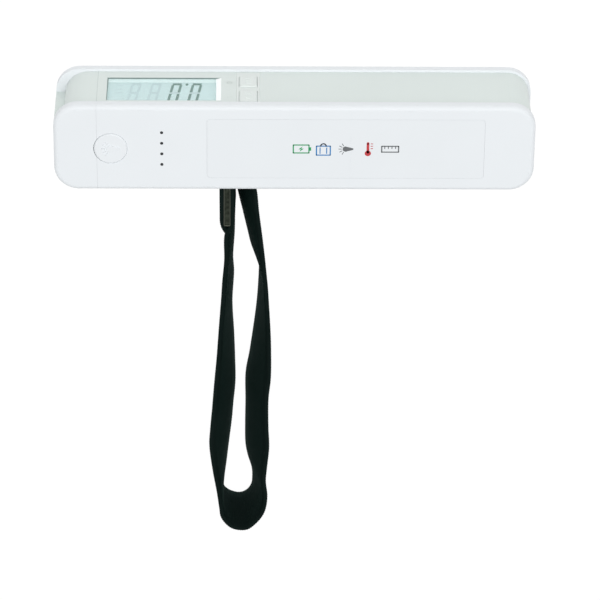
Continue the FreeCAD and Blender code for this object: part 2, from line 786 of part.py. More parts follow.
def ribbon_band():
    """Side profile of the strap: level inside the body, then falling to the table."""
    near = (MID_Z - WEB_WIDTH / 2, MID_Z + WEB_WIDTH / 2)
    far = (near[0] - STRAP_FALL, near[1] - STRAP_FALL)
    ys = (0, FALL_START_Y, FALL_END_Y, STRAP_END_Y - WEB_WIDTH)
    lows = (near[0], near[0], far[0], far[0])
    highs = (near[1], near[1], far[1], far[1])
    x = BAR_X - HEIGHT
    points = [V(x, y, z) for y, z in zip(ys, lows)]
    points += [V(x, y, z) for y, z in reversed(list(zip(ys, highs)))]
    face = Part.Face(Part.makePolygon(points + points[:1]))
    return face.extrude(V(2 * HEIGHT, 0, 0))


def strap():
    path = strap_outline()
    outer = path.makeOffset2D(WEB / 2)
    inner = path.makeOffset2D(-WEB / 2)
    face = Part.Face(outer).cut(Part.Face(inner))
    wall = face.extrude(V(0, 0, HEIGHT))
    return wall.common(ribbon_band())


def clasp_span():
    """X span of the clasp, on the outside of the left leg."""
    inner = BAR_X - WEB_RUN_R - WEB / 2
    return (inner - CLASP_THICK, inner)


def strap_clasp():
    """Flat steel plate between the leg and the sewn tail."""
    plate = block(clasp_span(), CLASP_Y, around(MID_Z, WEB_WIDTH / 2 - CLASP_EDGE))
    return plate.makeFillet(CLASP_FILLET, edges_along(plate, Y_AXIS))


def strap_tail():
    outer = clasp_span()[0]
    return block((outer - WEB, outer), TAIL_Y, around(MID_Z, WEB_WIDTH / 2))


# Battery and power board

def battery_cell():
    can = rod((BATTERY_X[0], 0, MID_Z), X_AXIS, BATTERY_R - SLEEVE, BATTERY_X[1] - BATTERY_X[0] - NIPPLE)
    nipple = rod((BATTERY_X[1] - NIPPLE, 0, MID_Z), X_AXIS, NIPPLE_R, NIPPLE)
    return union([can, nipple])


def battery_sleeve():
    length = BATTERY_X[1] - BATTERY_X[0] - NIPPLE
    start = (BATTERY_X[0], 0, MID_Z)
    return rod(start, X_AXIS, BATTERY_R, length).cut(rod(start, X_AXIS, BATTERY_R - SLEEVE, length))


def battery_cradle():
    """Strip on the rear cover with ribs that hug the cell."""
    base = block(inset(BATTERY_X, OVERCUT), around(0, CRADLE_HALF), (WALL, WALL + CRADLE_THICK))
    across = around(0, CORE_Y - WALL - BOARD_GAP)
    ribs = [block(around(x, RIB_THICK / 2), across, (WALL + CRADLE_THICK / 2, RIB_TOP)) for x in RIB_X]
    seat = rod((BATTERY_X[0] - OVERCUT, 0, MID_Z), X_AXIS, BATTERY_R,
               BATTERY_X[1] - BATTERY_X[0] + 2 * OVERCUT)
    return union([base] + ribs).cut(seat)


def battery_tabs():
    ends = ((BATTERY_X[0] - TAB, BATTERY_X[0]), (BATTERY_X[1], BATTERY_X[1] + TAB))
    return Part.makeCompound([block(x, around(0, TAB_HALF), (MID_Z - TAB_DROP, MID_Z + rise))
                              for x, rise in zip(ends, TAB_RISE)])


def battery_leads():
    """Positive lead at the port end, negative lead along the cell."""
    top = POWER_BOARD_Z + BOARD
    x = BATTERY_X[1] + TAB + LEAD_R
    end = x + RED_STEP
    side = LEAD_INSET - POWER_BOARD_HALF
    red = [(x, -LEAD_Y, MID_Z), (x, -LEAD_Y, RED_HIGH), (x, side, RED_HIGH),
           (end, side, RED_HIGH), (end, side, top)]
    x = BATTERY_X[0] - TAB - LEAD_R
    end = POWER_BOARD_X[0] + BLACK_STEP
    side = POWER_BOARD_HALF - LEAD_INSET
    black = [(x, LEAD_Y, MID_Z), (x, LEAD_Y, BLACK_HIGH), (x, BLACK_Y, BLACK_HIGH),
             (end, BLACK_Y, BLACK_HIGH), (end, side, BLACK_HIGH), (end, side, top)]
    return Part.makeCompound([lead(points, LEAD_R, LEAD_BEND) for points in (red, black)])


def power_board():
    return block(POWER_BOARD_X, around(0, POWER_BOARD_HALF), (POWER_BOARD_Z, POWER_BOARD_Z + BOARD))


def power_parts():
    """Boost inductor and charger chip under the power board."""
    inductor = rod((*INDUCTOR, POWER_BOARD_Z - INDUCTOR_THICK), Z_AXIS, INDUCTOR_R, INDUCTOR_THICK)
    chip_x, chip_y = CHARGER_CHIP
    chip = block(around(chip_x, CHIP_HALF), around(chip_y, CHIP_HALF),
                 (POWER_BOARD_Z - CHIP_THICK, POWER_BOARD_Z))
    return Part.makeCompound([inductor, chip])


def socket_shell(size, lip, z_low, corner):
    """Folded metal sleeve, closed at the back and open towards +X."""
    wide, high, deep = size
    x = (HALF_L - INSET - deep, HALF_L - INSET)
    outer = rounded(x, around(0, wide / 2), (z_low, z_low + high), corner, X_AXIS)
    z = inset((z_low, z_low + high), lip)
    inner = rounded((x[0] + lip, x[1] + OVERCUT), around(0, wide / 2 - lip), z, corner - lip / 2, X_AXIS)
    return outer.cut(inner)


def socket_tongue(size, lip, z_low, blade_size):
    """Contact carrier on a block at the back of the socket."""
    wide, high, deep = size
    thick, lift, reach = blade_size
    back = HALF_L - INSET - deep + lip
    half = wide / 2 - lip
    root = block((back, back + TONGUE_ROOT), around(0, half - ROOT_SIDE_GAP),
                 inset((z_low, z_low + high), lip + TONGUE_GAP))
    blade = block((back, back + reach), around(0, half - BLADE_SIDE_GAP),
                  (z_low + lift, z_low + lift + thick))
    return union([root, blade])


def usb_a_shell():
    return socket_shell(USB_A, USB_A_LIP, USB_A_Z, USB_A_CORNER)


def usb_a_tongue():
    return socket_tongue(USB_A, USB_A_LIP, USB_A_Z, USB_A_BLADE)


def usb_a_contacts():
    high = USB_A_Z + USB_A_BLADE[1]
    back = HALF_L - INSET - USB_A[2] + USB_A_LIP
    x = (back + CONTACT_REACH[0], back + CONTACT_REACH[1])
    return Part.makeCompound([block(x, around(y, CONTACT_HALF), (high - CONTACT_THICK, high))
                              for y in CONTACT_Y])


def micro_usb_shell():
    return socket_shell(MICRO, MICRO_LIP, POWER_BOARD_Z - MICRO[1], SOCKET_CORNER)


def micro_usb_tongue():
    return socket_tongue(MICRO, MICRO_LIP, POWER_BOARD_Z - MICRO[1], MICRO_BLADE)


# Fasteners

def case_screws():
    """Case screws with a cross recess, seated in the rear cover."""
    screws = []
    long, short = CROSS_HALF
    for x, y in BOSSES:
        head = rod((x, y, SCREW_SINK), Z_AXIS, SCREW_HEAD_R, SCREW_HEAD)
        shank = rod((x, y, SCREW_SINK + SCREW_HEAD), Z_AXIS, SCREW_SHANK_R, SCREW_SHANK)
        slots = [block(around(x, dx), around(y, dy), (0, CROSS_TOP))
                 for dx, dy in ((long, short), (short, long))]
        screws.append(cut(head.fuse(shank), slots))
    return Part.makeCompound(screws)


PARTS = {
    "front_cover": front_cover,
    "panel_inlay": panel_inlay,
    "rear_cover": rear_cover,
    "core_housing": core_housing,
    "end_cap": end_cap,
    "torch_bezel": torch_bezel,
    "torch_lens": torch_lens,
    "torch_reflector": torch_reflector,
    "torch_led": torch_led,
    "torch_board": torch_board,
    "torch_button": torch_button,
    "torch_switch": torch_switch,
    "torch_plunger": torch_plunger,
    "lcd_window": lcd_window,
    "lcd_module": lcd_module,
    "lcd_backlight": lcd_backlight,
    "display_board": display_board,
    "key_frame": key_frame,
    "key_switches": key_switches,
    "main_board": main_board,
    "charge_leds": charge_leds,
    "charge_light_pipes": charge_light_pipes,
    "controller_chips": controller_chips,
    "thermistor": thermistor,
    "load_cell": load_cell,
    "strain_gauges": strain_gauges,
    "cell_screws": cell_screws,
    "load_shackle": load_shackle,
    "strap_bar": strap_bar,
    "shackle_screws": shackle_screws,
    "strap": strap,
    "strap_clasp": strap_clasp,
    "strap_tail": strap_tail,
    "battery_cell": battery_cell,
    "battery_sleeve": battery_sleeve,
    "battery_cradle": battery_cradle,
    "battery_tabs": battery_tabs,
    "battery_leads": battery_leads,
    "power_board": power_board,
    "power_parts": power_parts,
    "usb_a_shell": usb_a_shell,
    "usb_a_tongue": usb_a_tongue,
    "usb_a_contacts": usb_a_contacts,
    "micro_usb_shell": micro_usb_shell,
    "micro_usb_tongue": micro_usb_tongue,
    "case_screws": case_screws,
}


def export(name, shape):
    """Write one node and report anything that isn't a sound solid."""
    if not shape.isValid() or not shape.Solids:
        print("PROBLEM", name)
    shape.exportStep(os.path.join("parts", name + ".step"))
    print(f"{name}: {len(shape.Solids)} solid(s), {shape.Volume:.1f} mm3")


def main():
    os.makedirs("parts", exist_ok=True)
    for name, build in PARTS.items():
        export(name, build())
    for name, z in zip(KEY_NAMES, KEY_Z):
        export(name, key(z))
        export(name.replace("key", "plunger"), key_plunger(z))


main()
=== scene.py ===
"""Luggage-scale power bank: materials, webbing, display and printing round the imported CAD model.

Frame: metres, on the CAD's own axes. +X runs along the body away from the torch, +Y out of the side
with the LCD and the keys, +Z out of the front cover. The webbing loop leaves the -Y side.
Shapes drawn on a surface are in millimetres from a point on it.
"""
import json
import math
import bmesh
import bpy
from mathutils import Matrix, Vector


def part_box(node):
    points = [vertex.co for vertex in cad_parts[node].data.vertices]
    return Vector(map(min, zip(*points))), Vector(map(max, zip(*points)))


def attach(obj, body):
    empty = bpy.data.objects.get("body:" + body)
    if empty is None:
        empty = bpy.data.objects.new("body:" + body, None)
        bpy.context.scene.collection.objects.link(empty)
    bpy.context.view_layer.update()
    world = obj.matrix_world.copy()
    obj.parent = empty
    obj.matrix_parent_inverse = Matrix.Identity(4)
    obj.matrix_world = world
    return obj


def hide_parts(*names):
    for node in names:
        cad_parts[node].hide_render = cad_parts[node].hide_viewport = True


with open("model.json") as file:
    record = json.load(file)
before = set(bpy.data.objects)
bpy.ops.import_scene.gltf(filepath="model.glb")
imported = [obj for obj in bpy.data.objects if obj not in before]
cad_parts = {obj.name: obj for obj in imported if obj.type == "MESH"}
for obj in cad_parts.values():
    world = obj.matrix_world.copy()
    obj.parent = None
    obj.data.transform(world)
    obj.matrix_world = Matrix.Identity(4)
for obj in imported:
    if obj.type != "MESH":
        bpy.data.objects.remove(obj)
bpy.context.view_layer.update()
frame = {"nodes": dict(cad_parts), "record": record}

MM = 0.001
X_AXIS = Vector((1, 0, 0))
Y_AXIS = Vector((0, 1, 0))
Z_AXIS = Vector((0, 0, 1))

# Camera, on the photograph's viewing angle
CAMERA_PLACE = (-0.01931, 0.59333, 1.10777)
CAMERA_YAW = math.radians(0.99)
CAMERA_PITCH = math.radians(31.171)
CAMERA_ROLL = math.radians(0.122)
CAMERA_LENS = 222.0
SENSOR = 36.0

# Webbing: width, thickness, the ribs and threads of its weave, and its rounded edges
WEB_WIDTH = 20.0
WEB_THICK = 1.3
RIB_PITCH = 0.7
RIB_STEPS = 4
RIB_HEIGHT = 0.08
SELVEDGE = 0.12
EDGE_ROUND = 0.25
EDGE_SHARE = 0.25
FACE_SPOTS = (0.6, 0.2)
WARP_PITCH = 0.45

# The band's lower edge: its height by the body and at the far end, and where it falls between them
FOOT_NEAR = 5.0
FOOT_FAR = 0.12
FALL_START_Y = -20.0
FALL_END_Y = -140.0

# The loop in millimetres, going round from the bar: x and y of its upper edge, x and y of its foot
BAR_TURN = (
    (-15.5, -8.4, -15.5, -8.4),
    (-16.2, -7.2, -16.2, -7.2),
    (-18.0, -6.45, -18.0, -6.45),
    (-19.8, -7.2, -19.8, -7.2),
    (-20.5, -8.4, -20.5, -8.4),
)
LEFT_LEG = (
    (-20.65, -17.0, -20.4, -17.0),
    (-20.65, -25.0, -20.3, -25.0),
    (-20.65, -31.0, -20.1, -31.0),
    (-21.0, -33.2, -20.15, -33.2),
    (-22.4, -35.8, -20.2, -35.8),
    (-22.85, -39.5, -20.3, -39.5),
    (-22.75, -47.0, -20.45, -47.0),
    (-23.45, -56.0, -20.95, -56.0),
    (-23.85, -63.0, -20.6, -63.0),
    (-24.65, -75.0, -21.15, -75.0),
    (-25.5, -88.0, -20.5, -88.0),
    (-26.4, -99.0, -20.1, -99.0),
    (-27.1, -109.0, -19.95, -109.0),
    (-27.8, -118.0, -20.65, -118.0),
    (-28.1, -125.5, -21.2, -125.5),
    (-26.9, -135.5, -22.3, -135.5),
    (-25.4, -144.5, -23.3, -144.5),
    (-24.45, -151.5, -24.25, -151.5),
)
FAR_TURN = (
    (-23.95, -155.0, -24.15, -154.6),
    (-22.2, -158.0, -22.6, -156.5),
    (-20.2, -159.75, -20.6, -157.6),
    (-17.6, -160.45, -18.3, -158.1),
    (-15.0, -160.1, -16.1, -157.6),
    (-12.5, -157.8, -14.3, -156.1),
    (-10.4, -154.9, -13.2, -154.0),
)
RIGHT_LEG = (
    (-9.1, -151.5, -12.8, -151.5),
    (-8.6, -146.5, -13.0, -146.5),
    (-9.15, -140.5, -14.6, -140.5),
    (-8.75, -135.0, -15.4, -135.0),
    (-8.0, -126.0, -15.5, -126.0),
    (-8.35, -117.0, -15.4, -117.0),
    (-8.4, -105.5, -15.4, -105.5),
    (-7.65, -96.0, -14.0, -96.0),
    (-7.7, -84.0, -12.5, -84.0),
    (-8.1, -74.0, -11.45, -74.0),
    (-8.75, -63.0, -10.85, -63.0),
    (-9.1, -57.5, -11.0, -57.5),
    (-9.55, -52.0, -13.4, -52.0),
    (-10.2, -45.0, -15.0, -45.0),
    (-11.0, -37.5, -16.6, -37.5),
    (-12.1, -28.0, -18.55, -28.0),
    (-12.9, -19.5, -18.75, -20.5),
    (-14.6, -13.0, -16.4, -13.0),
)

# Sewn tail: it runs down the clasp, then closes onto the leg below it
TAIL_PATH = (
    (-24.25, -12.0, -24.25, -12.0),
    (-24.25, -21.0, -24.25, -21.0),
    (-24.2, -28.0, -24.2, -28.0),
    (-24.15, -31.5, -24.1, -31.5),
    (-23.6, -33.8, -22.9, -33.8),
    (-22.75, -35.4, -21.4, -35.4),
)

# Bar tack across the tail: its station on the path, its zigzag and its thread
TACK_STATION = 4
TACK_STITCHES = 13
TACK_HALF = 0.5
TACK_EDGE = 0.05
THREAD = 0.22
THREAD_SIDES = 8
THREAD_TAPER = ((0, 0.35), (0.2, 1), (0.8, 1), (1, 0.35))

# Clasp jacket: a folded sheet-metal edge that stands a little past the clasp, above it and below
JACKET_WALL = 0.32
JACKET_PROUD = 0.3
JACKET_SOFT = 0.08

# Seven-segment digits on the LCD
DIGIT_WIDTH = 2.65
DIGIT_HEIGHT = 12.4
DIGIT_TOP = 10.4
DIGIT_SLANT = 0.125
STROKE_ACROSS = 0.9
STROKE_ALONG = 1.35
SEGMENT_GAP = 0.35
SEGMENT_LEAD = 0.15
BAR_REACH = 0.1
BAR_CUT_TOP = 0.4
BAR_CUT_FOOT = 0.8
DIGIT_X = (-39.15, -32.45)
GHOST_X = (-52.7, -46.0)
POINT_X = -35.9
POINT_RADIUS = 0.5
POINT_STRETCH = 1.7
POINT_DROP = 0.1
LCD_INK = 0.02

# Unlit bars beside the digits: x, width, height and the heights they stand at
GHOST_BARS = (
    (-58.4, 2.6, 0.5, (11.5, 14.0, 16.5)),
    (-27.9, 1.7, 0.45, (12.0, 15.0, 18.0)),
)

# LCD recess in the core, the painted shadow in the gaps along two of its sides, the glowing white
# sheet on its wide bevel (a painted highlight) and the glowing strip along the low edge of the display
# (painted light)
RECESS_X = (-62.6, -24.4)
RECESS_Z = (8.0, 24.0)
RECESS_BEVEL = 0.3
RECESS_BEVEL_WIDE = 1.7
SHADE_STRIP_WIDE = 0.6
SHADE_STRIP_TOP = 0.42
SHADE_STRIP_INSET = 0.15
SHADE_STRIP_RISE = 0.2
BEVEL_GLOW_INSET = 0.15
BEVEL_GLOW_LIP = 0.05
EDGE_GLOW_Z = (6.85, 9.1)

# The end cap's two colours meet this far inside the core's layer
LAYER_EDGE = 0.1

# Sockets of a colour Mix node, which share one name between its data types
MIX_COLOUR_A = 6
MIX_COLOUR_B = 7
MIX_RESULT = 2

# Dust seal round the torch button, open on the torch side
RING_OUTER = 5.72
RING_INNER = 5.64
RING_DEPTH = 0.12
RING_OPEN = 140
RING_STEP = 5

# Shadow line in the end cap's joint
SEAM_WIDE = 0.16

# Raised marks on the button and the keys
BUTTON_ICON_RISE = 0.2
BUTTON_ICON_SOFT = 0.05
BUTTON_ICON_SHIFT = 0.1
GRIP_RISE = 0.1
GRIP_SOFT = 0.04
GRIP_WIDTH = 1.9
GRIP_HEIGHT = 0.35
GRIP_PITCH = 1.15
GRIP_COUNT = 4

# Torch symbol, raised on the button and printed on the panel
TORCH_HEAD = 1.25
TORCH_BODY = ((0.8, -1.0), (3.2, -0.35), (3.2, 0.35), (0.8, 1.0))
RAY_ANGLES = (120, 150, 180, 210, 240)
RAY_INNER = 1.75
RAY_OUTER = 2.85
RAY_STROKE = 0.3

# Printing: its ink, and the row of symbols on the panel
INK_RISE = 0.012
INK_SINK = 0.05
ICON_STROKE = 0.42
ICON_PITCH = 7.4
ICON_FIRST = 2.2
PANEL_TORCH_SCALE = 0.8

# Panel symbols, each drawn round its own middle
BATTERY_SIZE = (5.2, 3.0)
BATTERY_TIP = (0.6, 1.3)
BATTERY_TIP_X = 3.05
BOLT = ((0.5, 1.0), (-0.9, -0.15), (-0.1, -0.15), (-0.5, -1.0), (0.9, 0.15), (0.1, 0.15))
CASE_SIZE = (4.6, 3.4)
CASE_Y = -0.6
HANDLE_Y = 1.1
HANDLE_RADIUS = 0.9
STRAP_X = (-1.1, 1.1)
STRAP_FOOT = -1.8
STRAP_TOP = 0.6
STRAP_STROKE = ICON_STROKE * 0.8
STEM = ((0, -1.2), (0, 2.2))
STEM_WIDTH = 0.9
BULB_Y = -1.6
BULB_RADIUS = 1.05
DEGREE_X = (0.9, 1.7)
DEGREE_Y = (0.2, 1.1, 2.0)
DEGREE_STROKE = 0.28
RULE_SIZE = (5.6, 2.2)
RULE_MARK_X = (-1.8, -0.6, 0.6, 1.8)
RULE_MARK_Y = (1.0, 0.1)
RULE_MARK_STROKE = 0.3

# Symbols beside the keys
SYMBOL_STROKE = 0.22
SYMBOL_X = 21.7
POWER_SYMBOL_Z = 11.4
POWER_RADIUS = 0.75
POWER_ARC = (120, 420)
POWER_BAR = ((0, 0.1), (0, 1.0))
UNIT_SYMBOL_Z = 21.6
SWAP_ARROW = (((-0.8, 0.35), (0.8, 0.35)), ((0.8, 0.35), (0.3, 0.8)))

# Ruler on the rear cover
MM_PER_CM = 10
RULER_LENGTH_CM = 15
RULER_EDGE_Y = -7.0
TICK_WIDTH = 0.16
TICK_CENTIMETRE = 4.0
TICK_HALF = 3.0
TICK_MILLIMETRE = 2.0
NUMERAL = 2.6
NUMERAL_RISE = 4.8

# Plastics: size of their clouding and how far their gloss drifts either way
CLOUD_SIZE = 18.0
GLOSS_DRIFT = (-0.04, 0.05)
COVER_ROUGHNESS = 0.45
COVER_SPECULAR = 0.25
RIPPLE_SIZE = 9.0
RIPPLE_DEPTH = 0.004

# Metals: their scratches and how far their gloss drifts either way
SCRATCH_SIZE = 0.8
SCRATCH_DEPTH = 0.01
METAL_DRIFT = (-0.08, 0.12)

# Circuit boards: repeat and relief of the tracks, and how much lighter the copper shows
TRACK_UNIT = 6.0
TRACK_RELIEF = 0.03
TRACK_LIGHTER = 1.6

# Webbing's finish: its fuzz, its faded patches and the relief of its threads
FUZZ_SIZE = 0.5
WEAR_SIZE = 14.0
THREAD_RELIEF = 0.025

# A wave texture of scale 1 repeats at this distance
WAVE_REPEAT = 2 * math.pi / 20

# Floor: it looks white by its own glow, reaches this many metres and lies this far below the object
FLOOR = (0.05, 0.05, 0.05)
FLOOR_ROUGHNESS = 0.9
FLOOR_GLOW = 0.98
FLOOR_REACH = 6.0
FLOOR_DROP = 0.02

# Light: a tent overhead and one soft key, placed and sized in metres
SKY_COLOUR = (0.98, 0.99, 1, 1)
SKY_LOW = 0.1
SKY_HIGH = 0.8
KEY_PLACE = (0.08, 0.68, 1.5)
KEY_SIZE = 1.2
KEY_POWER = 14.5
KEY_COLOUR = (1, 1, 0.99)


# Shapes in the plane

def disc(centre, radius, sides=20):
    """Round convex outline."""
    turn = 2 * math.pi / sides
    return [(centre[0] + radius * math.cos(i * turn), centre[1] + radius * math.sin(i * turn))
            for i in range(sides)]


def bar(start, end, width):
    """Straight stroke with square ends."""
    run = (Vector(end) - Vector(start)).normalized()
    side = Vector((-run.y, run.x)) * width / 2
    a, b = Vector(start), Vector(end)
    return [tuple(a - side), tuple(b - side), tuple(b + side), tuple(a + side)]


def stroke(points, width, closed=False):
    """Strokes along a polyline with round joints."""
    points = list(points)
    ends = points[1:] + points[:1] if closed else points[1:]
    shapes = [bar(a, b, width) for a, b in zip(points, ends)]
    return shapes + [disc(p, width / 2, sides=12) for p in points]


def arc(centre, radius, start, end, steps=16):
    """Points along an arc, its angles in degrees."""
    angles = [math.radians(start + (end - start) * i / steps) for i in range(steps + 1)]
    return [(centre[0] + radius * math.cos(a), centre[1] + radius * math.sin(a)) for a in angles]


def box_outline(centre, wide, high):
    x, y = centre
    return [(x - wide / 2, y - high / 2), (x + wide / 2, y - high / 2),
            (x + wide / 2, y + high / 2), (x - wide / 2, y + high / 2)]


def moved(shapes, across, up):
    return [[(x + across, y + up) for x, y in shape] for shape in shapes]


# Meshes

def add_mesh(name, mesh, material, body, smooth=True):
    """New piece from a bmesh: it rides on a body and takes its finish from a slot."""
    bmesh.ops.recalc_face_normals(mesh, faces=mesh.faces)
    data = bpy.data.meshes.new(name)
    mesh.to_mesh(data)
    mesh.free()
    piece = bpy.data.objects.new(name, data)
    bpy.context.scene.collection.objects.link(piece)
    data.materials.append(material)
    for face in data.polygons:
        face.use_smooth = smooth
    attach(piece, body)
    return piece


def add_prism(mesh, shape, place, across, up, rise, sink):
    """Closed thin prism over a plane outline given in millimetres."""
    out = across.cross(up)
    spots = [place + across * (u * MM) + up * (v * MM) for u, v in shape]
    low = [mesh.verts.new(p - out * (sink * MM)) for p in spots]
    high = [mesh.verts.new(p + out * (rise * MM)) for p in spots]
    mesh.faces.new(high)
    mesh.faces.new(list(reversed(low)))
    for i in range(len(spots)):
        j = (i + 1) % len(spots)
        mesh.faces.new([low[i], low[j], high[j], high[i]])


def relief(name, shapes, place, across, up, material, body, rise=INK_RISE, sink=INK_SINK):
    """Thin shapes standing on a surface, as printing or as a raised mark."""
    mesh = bmesh.new()
    for shape in shapes:
        add_prism(mesh, shape, place, across, up, rise, sink)
    return add_mesh(name, mesh, material, body, smooth=False)


# Materials

def new_material(name, colour, roughness, **settings):
    """Principled material; every constant sits on the shader's own socket."""
    made = bpy.data.materials.new(name)
    made.use_nodes = True
    shader = made.node_tree.nodes["Principled BSDF"]
    shader.inputs["Base Color"].default_value = (*colour, 1)
    shader.inputs["Roughness"].default_value = roughness
    for socket, value in settings.items():
        shader.inputs[socket.replace("_", " ")].default_value = value
    return made


def add_node(made, kind, **values):
    """Node with its properties or input values set by name."""
    node = made.node_tree.nodes.new("ShaderNode" + kind)
    for key, value in values.items():
        if hasattr(node, key):
            setattr(node, key, value)
        else:
            node.inputs[key.replace("_", " ")].default_value = value
    return node


def join(made, source, output, target, socket):
    made.node_tree.links.new(source.outputs[output], target.inputs[socket])


def noise(made, size_mm, detail=4.0, stretch=(1, 1, 1)):
    """Noise in object space whose main feature is about the given size."""
    place = add_node(made, "TexCoord")
    scaled = add_node(made, "Mapping")
    scaled.inputs["Scale"].default_value = stretch
    texture = add_node(made, "TexNoise", Scale=1 / (size_mm * MM), Detail=detail)
    join(made, place, "Object", scaled, "Vector")
    join(made, scaled, "Vector", texture, "Vector")
    return texture


def tint(made, source, output, low, high, steady=(0.3, 0.7)):
    """Base colour that drifts between two close colours."""
    ramp = add_node(made, "ValToRGB")
    ramp.color_ramp.elements[0].position = steady[0]
    ramp.color_ramp.elements[1].position = steady[1]
    ramp.color_ramp.elements[0].color = (*low, 1)
    ramp.color_ramp.elements[1].color = (*high, 1)
    join(made, source, output, ramp, "Fac")
    join(made, ramp, "Color", made.node_tree.nodes["Principled BSDF"], "Base Color")


def gloss_drift(made, source, output, roughness, drift):
    """Roughness that drifts a little below and above its value."""
    spread = add_node(made, "MapRange", To_Min=roughness + drift[0], To_Max=roughness + drift[1])
    join(made, source, output, spread, "Value")
    join(made, spread, "Result", made.node_tree.nodes["Principled BSDF"], "Roughness")


def bump(made, source, output, height_mm, strength=1.0):
    raised = add_node(made, "Bump", Strength=strength, Distance=height_mm * MM)
    join(made, source, output, raised, "Height")
    join(made, raised, "Normal", made.node_tree.nodes["Principled BSDF"], "Normal")


def shade(colour, factor):
    return tuple(c * factor for c in colour)


def moulded(name, colour, roughness, grain=0.35, depth=0.006, drift=0.985, **settings):
    """Moulded plastic: fine spark-eroded grain, faint clouding, slightly uneven gloss."""
    made = new_material(name, colour, roughness, **settings)
    clouds = noise(made, CLOUD_SIZE, detail=2.0)
    tint(made, clouds, "Fac", shade(colour, drift), colour)
    grain_noise = noise(made, grain, detail=3.0)
    gloss_drift(made, grain_noise, "Fac", roughness, GLOSS_DRIFT)
    bump(made, grain_noise, "Fac", depth)
    return made


def layered(name, cover, core):
    """The covers' plastic, with the core's colour between them."""
    made = moulded(name, cover, COVER_ROUGHNESS, Specular_IOR_Level=COVER_SPECULAR)
    low, high = (point.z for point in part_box("core_housing"))
    place = add_node(made, "TexCoord")
    height = add_node(made, "SeparateXYZ")
    middle = add_node(made, "Math", operation="COMPARE")
    middle.inputs[1].default_value = (low + high) / 2
    middle.inputs[2].default_value = (high - low) / 2 - LAYER_EDGE * MM
    blend = add_node(made, "Mix", data_type="RGBA")
    ramp = made.node_tree.nodes["Color Ramp"]
    shader = made.node_tree.nodes["Principled BSDF"]
    join(made, place, "Object", height, "Vector")
    join(made, height, "Z", middle, 0)
    join(made, middle, "Value", blend, "Factor")
    join(made, ramp, "Color", blend, MIX_COLOUR_A)
    blend.inputs[MIX_COLOUR_B].default_value = (*core, 1)
    join(made, blend, MIX_RESULT, shader, "Base Color")
    return made


def clear(name, colour, roughness, alpha):
    """Thin clear plastic: light passes through, and its surface still shines."""
    made = new_material(name, colour, roughness, Alpha=alpha, IOR=1.49)
    ripple = noise(made, RIPPLE_SIZE, detail=1.0)
    bump(made, ripple, "Fac", RIPPLE_DEPTH, strength=0.4)
    return made


def metal(name, colour, roughness, brushing=(1, 1, 14), tarnish=0.86, patch=3.0):
    """Worked metal: fine directional scratches and a little tarnish."""
    made = new_material(name, colour, roughness, Metallic=1.0)
    patches = noise(made, patch)
    tint(made, patches, "Fac", shade(colour, tarnish), colour)
    scratches = noise(made, SCRATCH_SIZE, detail=5.0, stretch=brushing)
    gloss_drift(made, scratches, "Fac", roughness, METAL_DRIFT)
    bump(made, scratches, "Fac", SCRATCH_DEPTH)
    return made


def circuit(name, colour):
    """Solder mask with the faint relief and lighter tone of the copper tracks under it."""
    made = new_material(name, colour, 0.35)
    place = add_node(made, "TexCoord")
    tracks = add_node(made, "TexBrick", Scale=1 / (TRACK_UNIT * MM), Mortar_Size=0.08,
                      Brick_Width=0.9, Row_Height=0.24)
    join(made, place, "Object", tracks, "Vector")
    tint(made, tracks, "Fac", colour, shade(colour, TRACK_LIGHTER), steady=(0.2, 0.8))
    bump(made, tracks, "Fac", TRACK_RELIEF)
    return made


def webbing(name, dark, light):
    """Nylon webbing: warp threads along the band over the modelled weft ribs, and a soft nap."""
    made = new_material(name, dark, 0.85, Specular_IOR_Level=0.05, Sheen_Weight=0.028,
                        Sheen_Roughness=0.55, Sheen_Tint=(0.38, 1, 0.84, 1))
    band = add_node(made, "UVMap", uv_map="weave")
    warp = add_node(made, "TexWave", wave_type="BANDS", bands_direction="Y",
                    Scale=WAVE_REPEAT / (WARP_PITCH * MM), Distortion=1.5, Detail=2.0)
    join(made, band, "UV", warp, "Vector")
    fuzz = noise(made, FUZZ_SIZE, detail=5.0)
    wear = noise(made, WEAR_SIZE, detail=3.0)
    tint(made, wear, "Fac", dark, light)
    mixed = add_node(made, "Math", operation="ADD")
    join(made, warp, "Fac", mixed, 0)
    join(made, fuzz, "Fac", mixed, 1)
    bump(made, mixed, "Value", THREAD_RELIEF, strength=0.8)
    return made


COVER = (0.855, 0.885, 0.91)
CORE = (0.775, 0.845, 0.82)
KEY = (0.81, 0.865, 0.845)
INK_GREY = (0.16, 0.17, 0.18)

